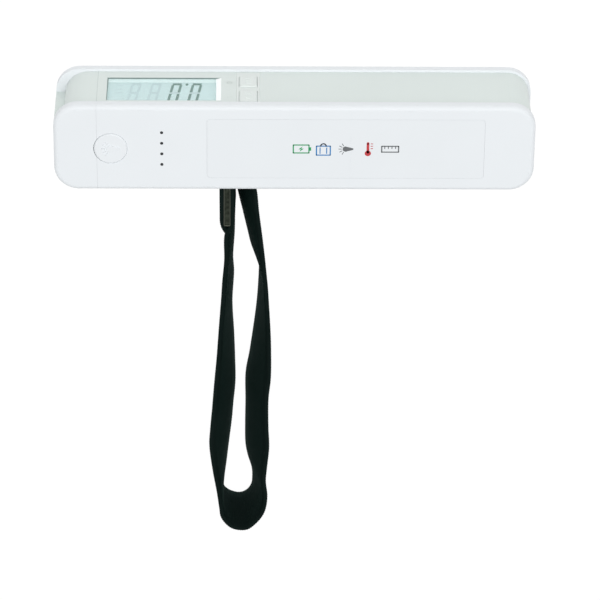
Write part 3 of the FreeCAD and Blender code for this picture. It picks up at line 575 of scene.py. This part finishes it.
MATERIALS = {
    "cover_white": moulded("cover_white", COVER, COVER_ROUGHNESS, Specular_IOR_Level=COVER_SPECULAR),
    "core_white": moulded("core_white", CORE, 0.45),
    "panel_white": moulded("panel_white", (0.85, 0.88, 0.905), 0.33, grain=0.6, depth=0.003),
    "clear_plastic": clear("clear_plastic", (0.88, 0.95, 0.93), 0.06, alpha=0.14),
    # The LCD module glows: painted light that lifts the shade of its recess
    "lcd_mint": moulded("lcd_mint", (0.42, 0.55, 0.56), 0.35, grain=0.2, depth=0.002, drift=0.97,
                        Emission_Color=(0.61, 0.84, 0.845, 1), Emission_Strength=0.335),
    "light_guide": moulded("light_guide", (0.85, 0.92, 0.88), 0.3),
    "button_white": moulded("button_white", COVER, 0.4),
    "key_white": moulded("key_white", KEY, 0.4),
    "chrome_mirror": metal("chrome_mirror", (0.9, 0.9, 0.92), 0.12, brushing=(1, 1, 1)),
    "led_phosphor": moulded("led_phosphor", (0.95, 0.82, 0.3), 0.25, grain=0.1),
    "indicator_led": moulded("indicator_led", (0.75, 0.85, 0.95), 0.25, grain=0.1),
    "board_green": circuit("board_green", (0.03, 0.2, 0.08)),
    "chip_black": moulded("chip_black", (0.02, 0.02, 0.022), 0.5, grain=0.1),
    "aluminium": metal("aluminium", (0.78, 0.79, 0.8), 0.32, brushing=(14, 1, 1)),
    "gauge_film": moulded("gauge_film", (0.62, 0.36, 0.1), 0.3, grain=0.2),
    "steel": metal("steel", (0.62, 0.63, 0.65), 0.3),
    "clasp_steel": metal("clasp_steel", (0.062, 0.072, 0.054), 0.5, brushing=(1, 3, 1), tarnish=0.35,
                         patch=1.3),
    "webbing": webbing("webbing", (0.0035, 0.0078, 0.007), (0.0055, 0.0105, 0.0096)),
    "battery_steel": metal("battery_steel", (0.7, 0.7, 0.72), 0.28),
    "battery_wrap": moulded("battery_wrap", (0.05, 0.2, 0.55), 0.25, grain=1.5, depth=0.02),
    "lead_pvc": moulded("lead_pvc", (0.5, 0.03, 0.02), 0.45, grain=0.4),
    "port_plastic": moulded("port_plastic", (0.85, 0.85, 0.85), 0.4),
    "contact_gold": metal("contact_gold", (0.83, 0.62, 0.28), 0.2),
}
SMOKED = clear("smoked_light_pipe", (0.03, 0.032, 0.035), 0.25, alpha=0.9)
END_CAP = layered("end_cap", COVER, CORE)
LCD_DARK = moulded("lcd_segment_on", (0.01, 0.17, 0.13), 0.5, grain=0.2, depth=0.001)
# The unlit segments glow like the module: the same painted light
LCD_GHOST = moulded("lcd_segment_off", (0.37, 0.49, 0.51), 0.4, grain=0.2, depth=0.001,
                    Emission_Color=(0.6, 0.83, 0.86, 1), Emission_Strength=0.25)
# Painted shadow: dark finish for the strips that stand in for the shade in the LCD window's gaps
LCD_PAINTED_SHADE = moulded("lcd_painted_shade", (0.2, 0.27, 0.26), 0.6)
# Painted highlight: a white sheet that glows, laid on the LCD recess's wide bevel to make that wall
# shine
BEVEL_PAINTED_GLOW = moulded("lcd_bevel_painted_glow", (0.93, 0.95, 0.95), 0.3, Emission_Color=(0.9, 0.96, 0.97, 1),
                      Emission_Strength=0.16)
# Painted light: a glowing pale strip that stands in for the bright band along the display's low edge
EDGE_PAINTED_GLOW = moulded("lcd_edge_painted_glow", (0.5, 0.6, 0.6), 0.35, Emission_Color=(0.8, 0.95, 0.96, 1),
                     Emission_Strength=0.58)
SEAM_GREY = moulded("seam_shadow", (0.6, 0.67, 0.65), 0.6)
JACKET = metal("clasp_edge", (0.125, 0.135, 0.11), 0.4, brushing=(1, 3, 1))
PRINT_GREY = moulded("print_grey", INK_GREY, 0.55, grain=0.15, depth=0.002, drift=0.9)
PRINT_FAINT = moulded("print_faint", (0.745, 0.815, 0.79), 0.5, grain=0.15, depth=0.002)
PRINT_GREEN = moulded("print_green", (0.02, 0.38, 0.13), 0.5, grain=0.15, depth=0.002, drift=0.9)
PRINT_BLUE = moulded("print_blue", (0.02, 0.22, 0.55), 0.5, grain=0.15, depth=0.002, drift=0.9)
PRINT_RED = moulded("print_red", (0.62, 0.05, 0.06), 0.5, grain=0.15, depth=0.002, drift=0.9)


def dress_cad_nodes():
    """Give every CAD node the material of its record slot."""
    for row in frame["record"]["subparts"]:
        node = frame["nodes"][row["node"]]
        for holder in node.material_slots:
            holder.material = MATERIALS[row["material_slot"]]
    for node, material in (("charge_light_pipes", SMOKED), ("end_cap", END_CAP)):
        for holder in frame["nodes"][node].material_slots:
            holder.material = material


# Webbing

def between(values, t):
    """Catmull-Rom point through the middle two of four values."""
    a, b, c, d = values
    return (2 * b + (c - a) * t + (2 * a - 5 * b + 4 * c - d) * t * t
            + (3 * b - a - 3 * c + d) * t * t * t) / 2


def smooth_path(stations, closed, steps=24):
    """Upper edge and foot, as one smooth list of four-number rows."""
    rows = [Vector(s) for s in stations]
    count = len(rows)
    found = []
    for i in range(count if closed else count - 1):
        if closed:
            near = [rows[(i + k) % count] for k in (-1, 0, 1, 2)]
        else:
            near = [rows[min(max(i + k, 0), count - 1)] for k in (-1, 0, 1, 2)]
        found += [between(near, k / steps) for k in range(steps)]
    return found + [found[0] if closed else rows[-1]]


def even_steps(path, step):
    """The same path at even steps along the middle of the band."""
    middles = [Vector(((r[0] + r[2]) / 2, (r[1] + r[3]) / 2)) for r in path]
    reach = [0.0]
    for a, b in zip(middles, middles[1:]):
        reach.append(reach[-1] + (b - a).length)
    count = round(reach[-1] / step)
    found, i = [], 0
    for k in range(count + 1):
        target = reach[-1] * k / count
        while i < len(path) - 2 and reach[i + 1] < target:
            i += 1
        share = (target - reach[i]) / max(reach[i + 1] - reach[i], 1e-9)
        found.append(path[i].lerp(path[i + 1], share))
    return found, reach[-1]


def foot_height(y):
    """Height of the band's lower edge: level by the body, on the table at the far end."""
    fall = (FALL_START_Y - y) / (FALL_START_Y - FALL_END_Y)
    return FOOT_NEAR + (FOOT_FAR - FOOT_NEAR) * min(max(fall, 0), 1)


def edge_points(row):
    """Upper edge and foot in space, a band's width apart."""
    top_x, top_y, foot_x, foot_y = row
    lean = math.hypot(top_x - foot_x, top_y - foot_y)
    low = foot_height((top_y + foot_y) / 2)
    high = low + math.sqrt(WEB_WIDTH ** 2 - lean ** 2)
    return Vector((top_x, top_y, high)), Vector((foot_x, foot_y, low))


def band_section(rib):
    """Closed cross-section as (across, out) pairs, with its edges rounded and a rib's relief."""
    half = WEB_WIDTH / 2
    face = WEB_THICK / 2 + RIB_HEIGHT * rib
    edge = half + SELVEDGE * (rib - 1) / 2
    rise = WEB_THICK * EDGE_SHARE
    upper = [half - EDGE_ROUND] + [half * share for share in FACE_SPOTS]
    across = [-v for v in upper] + upper[::-1]
    section = [(v, face) for v in across]
    section += [(edge, rise), (edge, -rise)]
    section += [(v, -face) for v in reversed(across)]
    section += [(-edge, -rise), (-edge, rise)]
    return section


def ribbon(name, stations, closed):
    """Woven band lofted along its stations, with its weft ribs modelled."""
    rows, length = even_steps(smooth_path(stations, closed), RIB_PITCH / RIB_STEPS)
    if closed:
        rows = rows[:-1]
    edges = [edge_points(row) for row in rows]
    middles = [(top + foot) / 2 for top, foot in edges]
    count = len(rows)
    mesh = bmesh.new()
    weave = mesh.loops.layers.uv.new("weave")
    rings = []
    for i in range(count):
        after = middles[(i + 1) % count] if closed else middles[min(i + 1, count - 1)]
        before = middles[i - 1] if closed else middles[max(i - 1, 0)]
        across = (edges[i][0] - edges[i][1]).normalized()
        out = (after - before).normalized().cross(across).normalized()
        rib = math.cos(2 * math.pi * i / RIB_STEPS)
        rings.append([mesh.verts.new((middles[i] + across * v + out * w) * MM)
                      for v, w in band_section(rib)])
    sides = len(rings[0])
    spots = [v for v, w in band_section(0)]
    step = length / count * MM
    for i in range(count if closed else count - 1):
        j = (i + 1) % count
        for k in range(sides):
            m = (k + 1) % sides
            face = mesh.faces.new([rings[i][k], rings[j][k], rings[j][m], rings[i][m]])
            corners = ((i, k), (i + 1, k), (i + 1, m), (i, m))
            for loop, (along, side) in zip(face.loops, corners):
                loop[weave].uv = (along * step, spots[side] * MM)
    if not closed:
        mesh.faces.new(rings[0])
        mesh.faces.new(list(reversed(rings[-1])))
    return add_mesh(name, mesh, MATERIALS["webbing"], "strap")


def add_stitch(mesh, start, end, radius):
    """Thread between two points, tapered into the cloth at both ends."""
    run = (end - start).normalized()
    side = run.orthogonal().normalized()
    other = run.cross(side)
    rings = []
    for share, width in THREAD_TAPER:
        centre = start.lerp(end, share)
        rings.append([mesh.verts.new(centre + (side * x + other * y) * (radius * width))
                      for x, y in disc((0, 0), 1, THREAD_SIDES)])
    for low, high in zip(rings, rings[1:]):
        for k in range(len(low)):
            m = (k + 1) % len(low)
            mesh.faces.new([low[k], low[m], high[m], high[k]])
    mesh.faces.new(list(reversed(rings[0])))
    mesh.faces.new(rings[-1])


def bar_tack():
    """Zigzag of thread that closes the tail below the clasp."""
    mesh = bmesh.new()
    top, foot = edge_points(TAIL_PATH[TACK_STATION])
    face = Vector((-WEB_THICK / 2, 0, 0))
    for i in range(TACK_STITCHES):
        swing = Vector((0, TACK_HALF if i % 2 else -TACK_HALF, 0))
        ends = []
        for k, side in ((i, -swing), (i + 1, swing)):
            share = TACK_EDGE + (1 - 2 * TACK_EDGE) * k / TACK_STITCHES
            ends.append((foot.lerp(top, share) + face + side) * MM)
        add_stitch(mesh, ends[0], ends[1], THREAD * MM)
    return add_mesh("tail_bar_tack", mesh, MATERIALS["webbing"], "strap")


def clasp_jacket():
    """Folded edge round the clasp, a lighter metal and open towards the body."""
    low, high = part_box("strap_clasp")
    wall = JACKET_WALL * MM
    rise = JACKET_PROUD * MM
    middle = (high.z + low.z) / 2
    walls = (
        ((low.x, low.y), (low.x + wall, high.y)),
        ((high.x - wall, low.y), (high.x, high.y)),
        ((low.x, low.y), (high.x, low.y + wall)),
    )
    mesh = bmesh.new()
    tall = (high.z - low.z) / 2 + rise
    for (x0, y0), (x1, y1) in walls:
        outline = [(x / MM, y / MM) for x, y in ((x0, y0), (x1, y0), (x1, y1), (x0, y1))]
        add_prism(mesh, outline, Vector((0, 0, middle)), X_AXIS, Y_AXIS, tall / MM, tall / MM)
    piece = add_mesh("clasp_jacket", mesh, JACKET, "strap", smooth=False)
    soften(piece, JACKET_SOFT)
    return piece


def soften(piece, width_mm, segments=2):
    """Small bevel on every sharp edge."""
    modifier = piece.modifiers.new("soften", "BEVEL")
    modifier.width = width_mm * MM
    modifier.segments = segments
    modifier.limit_method = "ANGLE"


def make_strap():
    loop = ribbon("strap_webbing", BAR_TURN + LEFT_LEG + FAR_TURN + RIGHT_LEG, closed=True)
    tail = ribbon("strap_tail_webbing", TAIL_PATH, closed=False)
    tack = bar_tack()
    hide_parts("strap")
    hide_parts("strap_tail")


# Display

def digit_segments():
    """The seven segments' middle lines, with 0 at the top of a digit and 1 at its bottom."""
    half = DIGIT_WIDTH / 2
    return {
        "top": ((-half, 0), (half, 0)),
        "middle": ((-half, 0.5), (half, 0.5)),
        "bottom": ((-half, 1), (half, 1)),
        "upper_left": ((-half, 0), (-half, 0.5)),
        "upper_right": ((half, 0), (half, 0.5)),
        "lower_left": ((-half, 0.5), (-half, 1)),
        "lower_right": ((half, 0.5), (half, 1)),
    }


def digit(x, names):
    """Slanted segments of one digit, as (x, z) outlines from its upper middle at x."""
    shapes = []
    for name in names:
        (x0, t0), (x1, t1) = digit_segments()[name]
        z0, z1 = DIGIT_TOP + t0 * DIGIT_HEIGHT, DIGIT_TOP + t1 * DIGIT_HEIGHT
        if t0 == t1:
            reach, thick = STROKE_ACROSS / 2 + BAR_REACH, STROKE_ALONG / 2
            top, foot = reach - thick * BAR_CUT_TOP, reach - thick * BAR_CUT_FOOT
            outline = [(x0 - top, z0 - thick), (x1 + top, z0 - thick),
                       (x1 + foot, z0 + thick), (x0 - foot, z0 + thick)]
        else:
            wide = STROKE_ACROSS / 2
            start, end = z0 + SEGMENT_GAP + SEGMENT_LEAD, z1 - SEGMENT_GAP
            outline = [(x0 - wide, start), (x0 + wide, start), (x0 + wide, end), (x0 - wide, end)]
        shapes.append([(x + u - (v - DIGIT_TOP) * DIGIT_SLANT, v) for u, v in outline])
    return shapes


def lcd_marks(name, shapes, material):
    """Segments on the front of the LCD module. The outlines are x and z."""
    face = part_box("lcd_module")[1].y
    flipped = [[(-x, z) for x, z in shape] for shape in shapes]
    return relief(name, flipped, Vector((0, face, 0)), -X_AXIS, Z_AXIS, material, "housing",
                  rise=LCD_INK, sink=LCD_INK)


def make_display():
    lit = [name for name in digit_segments() if name != "middle"]
    shapes = [shape for x in DIGIT_X for shape in digit(x, lit)]
    point = disc((0, POINT_DROP), POINT_RADIUS)
    shapes.append([(POINT_X + x, DIGIT_TOP + z * POINT_STRETCH) for x, z in point])
    lcd_marks("lcd_digits", shapes, LCD_DARK)
    ghosts = [shape for x in GHOST_X for shape in digit(x, list(digit_segments()))]
    ghosts += [shape for x in DIGIT_X for shape in digit(x, ["middle"])]
    for x, wide, high, levels in GHOST_BARS:
        ghosts += [box_outline((x, z), wide, high) for z in levels]
    lcd_marks("lcd_off_segments", ghosts, LCD_GHOST)


def lcd_edging():
    """Painted shadow in two gaps, painted highlight on the bevel, painted glow on the low edge; each
    on its own face.
    """
    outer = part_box("core_housing")[1].y
    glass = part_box("lcd_window")[1].y
    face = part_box("lcd_module")[1].y
    depth = (outer - glass) / MM
    (x0, x1), (z0, z1) = RECESS_X, RECESS_Z

    # Dark strip on the low wall of the recess: painted shadow in the gap there
    slope = Vector((0, glass - outer, RECESS_BEVEL * MM)).normalized()
    wall = math.hypot(depth, RECESS_BEVEL)
    seal = [[(-x0, 0), (-x1, 0), (-x1, wall), (-x0, wall)]]
    relief("lcd_painted_shade_low", seal, Vector((0, outer, z0 * MM)), -X_AXIS, slope,
           LCD_PAINTED_SHADE, "housing")

    # Dark strip down the left gap, wider at its low end: painted shadow
    left = x0 - SHADE_STRIP_INSET
    seal = [[(-left, z0), (-left, z1), (-left - SHADE_STRIP_TOP, z1), (-left - SHADE_STRIP_WIDE, z0)]]
    relief("lcd_painted_shade_side", seal, Vector((0, glass + SHADE_STRIP_RISE * MM, 0)), -X_AXIS, Z_AXIS,
           LCD_PAINTED_SHADE, "housing")

    # Glowing strip along the display's low edge: painted light
    low, high = EDGE_GLOW_Z
    edge_painted_glow = [[(-x0, low), (-x1, low), (-x1, high), (-x0, high)]]
    relief("lcd_edge_painted_glow", edge_painted_glow, Vector((0, face, 0)), -X_AXIS, Z_AXIS,
           EDGE_PAINTED_GLOW, "housing")

    # Glowing white sheet on the wide bevel: a painted highlight
    slope = Vector((-RECESS_BEVEL_WIDE * MM, glass - outer, 0)).normalized()
    wide = math.hypot(RECESS_BEVEL_WIDE, depth)
    tall = z1 - z0
    bevel_painted_glow = [[(BEVEL_GLOW_INSET, BEVEL_GLOW_LIP), (tall - BEVEL_GLOW_INSET, BEVEL_GLOW_LIP),
              (tall - RECESS_BEVEL, wide), (RECESS_BEVEL, wide)]]
    relief("lcd_bevel_painted_glow", bevel_painted_glow, Vector((x1 * MM, outer, z0 * MM)), Z_AXIS, slope,
           BEVEL_PAINTED_GLOW, "housing")


# Raised marks on the button and keys

def torch_icon(scale=1.0):
    """Torch head with five rays, pointing towards -X."""
    shapes = [arc((0, 0), TORCH_HEAD, 90, 270) + list(TORCH_BODY)]
    for angle in RAY_ANGLES:
        a = math.radians(angle)
        ray = [(reach * math.cos(a), reach * math.sin(a)) for reach in (RAY_INNER, RAY_OUTER)]
        shapes += stroke(ray, RAY_STROKE)
    return [[(x * scale, y * scale) for x, y in shape] for shape in shapes]


def mark_button():
    low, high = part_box("torch_button")
    middle = (low + high) / 2
    place = Vector((middle.x - BUTTON_ICON_SHIFT * MM, middle.y, high.z))
    piece = relief("torch_button_icon", torch_icon(), place, X_AXIS, Y_AXIS, MATERIALS["button_white"],
                   "torch_button", rise=BUTTON_ICON_RISE)
    soften(piece, BUTTON_ICON_SOFT)


def button_seal():
    """Pale ring in the gap round the button, a little below the surface."""
    low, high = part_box("torch_button")
    angles = [math.radians(a) for a in range(-RING_OPEN, RING_OPEN + 1, RING_STEP)]
    shapes = []
    for a, b in zip(angles, angles[1:]):
        corners = ((RING_INNER, a), (RING_OUTER, a), (RING_OUTER, b), (RING_INNER, b))
        shapes.append([(r * math.cos(t), r * math.sin(t)) for r, t in corners])
    middle = (low + high) / 2
    place = Vector((middle.x, middle.y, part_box("front_cover")[1].z - RING_DEPTH * MM))
    relief("torch_button_seal", shapes, place, X_AXIS, Y_AXIS, MATERIALS["cover_white"],
           "housing")


def end_seam():
    """The joint between the end cap and the core, darkened by the shadow in it."""
    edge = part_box("end_cap")[1].x
    low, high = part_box("core_housing")
    line = [box_outline((0, 0), SEAM_WIDE, (high.z - low.z) / MM)]
    place = Vector((edge, high.y, (low.z + high.z) / 2))
    relief("end_seam_shadow", line, place, -X_AXIS, Z_AXIS, SEAM_GREY, "housing")


def mark_keys():
    for body in ("power_key", "unit_key"):
        low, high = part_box(body)
        middle = (low + high) / 2
        levels = [(i - (GRIP_COUNT - 1) / 2) * GRIP_PITCH for i in range(GRIP_COUNT)]
        shapes = [box_outline((0, level), GRIP_WIDTH, GRIP_HEIGHT) for level in levels]
        place = Vector((middle.x, high.y, middle.z))
        piece = relief(body + "_grip", shapes, place, -X_AXIS, Z_AXIS, MATERIALS["key_white"],
                       body, rise=GRIP_RISE)
        soften(piece, GRIP_SOFT)


def key_symbols():
    """Faint printed symbols beside the keys: a power ring and a pair of swap arrows."""
    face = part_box("core_housing")[1].y
    ring = stroke(arc((0, 0), POWER_RADIUS, *POWER_ARC), SYMBOL_STROKE)
    ring.append(bar(*POWER_BAR, SYMBOL_STROKE))
    swap = [bar((x0 * turn, z0 * turn), (x1 * turn, z1 * turn), SYMBOL_STROKE)
            for (x0, z0), (x1, z1) in SWAP_ARROW for turn in (1, -1)]
    shapes = moved(ring, SYMBOL_X, POWER_SYMBOL_Z) + moved(swap, SYMBOL_X, UNIT_SYMBOL_Z)
    relief("key_symbols", shapes, Vector((0, face, 0)), -X_AXIS, Z_AXIS, PRINT_FAINT,
           "housing")


# Printing

def battery_icon():
    shell = stroke(box_outline((0, 0), *BATTERY_SIZE), ICON_STROKE, closed=True)
    return shell + [box_outline((BATTERY_TIP_X, 0), *BATTERY_TIP), BOLT]


def case_icon():
    shell = stroke(box_outline((0, CASE_Y), *CASE_SIZE), ICON_STROKE, closed=True)
    handle = stroke(arc((0, HANDLE_Y), HANDLE_RADIUS, 0, 180), ICON_STROKE)
    straps = [bar((x, STRAP_FOOT), (x, STRAP_TOP), STRAP_STROKE) for x in STRAP_X]
    return shell + handle + straps


def thermometer_icon():
    near, far = DEGREE_X
    degrees = [bar((near, y), (far, y), DEGREE_STROKE) for y in DEGREE_Y]
    return stroke(STEM, STEM_WIDTH) + [disc((0, BULB_Y), BULB_RADIUS)] + degrees


def ruler_icon():
    shell = stroke(box_outline((0, 0), *RULE_SIZE), ICON_STROKE, closed=True)
    top, foot = RULE_MARK_Y
    return shell + [bar((x, top), (x, foot), RULE_MARK_STROKE) for x in RULE_MARK_X]


def print_panel():
    """A plain row of function symbols on the front panel."""
    place = Vector((0, 0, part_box("panel_inlay")[1].z))
    icons = (
        ("panel_battery_symbol", battery_icon(), PRINT_GREEN),
        ("panel_case_symbol", case_icon(), PRINT_BLUE),
        ("panel_torch_symbol", torch_icon(PANEL_TORCH_SCALE), PRINT_GREY),
        ("panel_thermometer_symbol", thermometer_icon(), PRINT_RED),
        ("panel_ruler_symbol", ruler_icon(), PRINT_GREY),
    )
    for i, (name, shapes, ink) in enumerate(icons):
        shapes = moved(shapes, ICON_FIRST + ICON_PITCH * i, 0)
        relief(name, shapes, place, X_AXIS, Y_AXIS, ink, "housing")


def numeral_shapes(text, centre_x, centre_y):
    """Outlines of printed numerals, from the built-in font."""
    curve = bpy.data.curves.new("numeral", "FONT")
    curve.body = text
    curve.size = NUMERAL
    curve.align_x = "CENTER"
    holder = bpy.data.objects.new("numeral", curve)
    data = bpy.data.meshes.new_from_object(holder)
    shapes = []
    for face in data.polygons:
        shapes.append([(data.vertices[i].co.x + centre_x, data.vertices[i].co.y + centre_y)
                       for i in face.vertices])
    bpy.data.objects.remove(holder)
    bpy.data.curves.remove(curve)
    bpy.data.meshes.remove(data)
    return shapes


def print_ruler():
    """Centimetre scale between the rear cover's two rows of screws, read from the back."""
    length = RULER_LENGTH_CM * MM_PER_CM
    half = length / 2
    ticks = []
    for mark in range(length + 1):
        x = mark - half
        reach = TICK_MILLIMETRE
        if mark % (MM_PER_CM // 2) == 0:
            reach = TICK_HALF
        if mark % MM_PER_CM == 0:
            reach = TICK_CENTIMETRE
        ticks.append(bar((x, RULER_EDGE_Y), (x, RULER_EDGE_Y + reach), TICK_WIDTH))
    place = Vector((0, 0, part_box("rear_cover")[0].z))
    # Seen from below, so the plane's own across axis runs towards -X
    relief("ruler_ticks", ticks, place, -X_AXIS, Y_AXIS, PRINT_GREY, "housing")
    numerals = []
    for centimetre in range(RULER_LENGTH_CM + 1):
        x = centimetre * MM_PER_CM - half
        numerals += numeral_shapes(str(centimetre), x, RULER_EDGE_Y + NUMERAL_RISE)
    relief("ruler_numerals", numerals, place, -X_AXIS, Y_AXIS, PRINT_GREY, "housing")


# Studio

def make_floor():
    data = bpy.data.meshes.new("floor")
    corners = [(x * FLOOR_REACH, y * FLOOR_REACH, 0) for x, y in ((-1, -1), (1, -1), (1, 1), (-1, 1))]
    data.from_pydata(corners, [], [(0, 1, 2, 3)])
    floor = bpy.data.objects.new("floor", data)
    floor.location.z = -FLOOR_DROP * MM
    bpy.context.scene.collection.objects.link(floor)
    data.materials.append(new_material("floor", FLOOR, FLOOR_ROUGHNESS, Specular_IOR_Level=0.0,
                                       Emission_Color=(1, 1, 1, 1), Emission_Strength=FLOOR_GLOW))


def add_area_light(name, place, target, size, power, colour):
    light = bpy.data.lights.new(name, "AREA")
    light.size = size
    light.energy = power
    light.color = colour
    lamp = bpy.data.objects.new(name, light)
    bpy.context.scene.collection.objects.link(lamp)
    lamp.location = place
    lamp.rotation_euler = (Vector(target) - Vector(place)).to_track_quat("-Z", "Y").to_euler()


def make_sky():
    """White tent that is brighter overhead than at the horizon."""
    world = bpy.data.worlds.new("studio")
    world.use_nodes = True
    nodes, links = world.node_tree.nodes, world.node_tree.links
    background = nodes["Background"]
    background.inputs["Color"].default_value = SKY_COLOUR
    heading = nodes.new("ShaderNodeTexCoord")
    height = nodes.new("ShaderNodeSeparateXYZ")
    strength = nodes.new("ShaderNodeMapRange")
    strength.inputs["To Min"].default_value = SKY_LOW
    strength.inputs["To Max"].default_value = SKY_HIGH
    links.new(heading.outputs["Generated"], height.inputs["Vector"])
    links.new(height.outputs["Z"], strength.inputs["Value"])
    links.new(strength.outputs["Result"], background.inputs["Strength"])
    bpy.context.scene.world = world


def make_light():
    bpy.context.scene.view_settings.view_transform = "Standard"
    make_sky()
    add_area_light("key", KEY_PLACE, (0, 0, 0), KEY_SIZE, KEY_POWER, KEY_COLOUR)


def make_camera():
    forward = Vector((math.sin(CAMERA_YAW), -math.sin(CAMERA_PITCH) * math.cos(CAMERA_YAW),
                      -math.cos(CAMERA_PITCH) * math.cos(CAMERA_YAW))).normalized()
    level = forward.cross(Vector((0, math.cos(CAMERA_PITCH), -math.sin(CAMERA_PITCH)))).normalized()
    above = level.cross(forward)
    right = math.cos(CAMERA_ROLL) * level + math.sin(CAMERA_ROLL) * above
    up = math.cos(CAMERA_ROLL) * above - math.sin(CAMERA_ROLL) * level
    data = bpy.data.cameras.new("camera")
    data.lens = CAMERA_LENS
    data.sensor_width = SENSOR
    camera = bpy.data.objects.new("camera", data)
    bpy.context.scene.collection.objects.link(camera)
    turn = Matrix((right, up, -forward)).transposed().to_4x4()
    camera.matrix_world = Matrix.Translation(CAMERA_PLACE) @ turn
    bpy.context.scene.camera = camera


make_camera()
make_light()
make_floor()
dress_cad_nodes()
make_strap()
clasp_jacket()
make_display()
lcd_edging()
mark_button()
button_seal()
end_seam()
mark_keys()
key_symbols()
print_panel()
print_ruler()
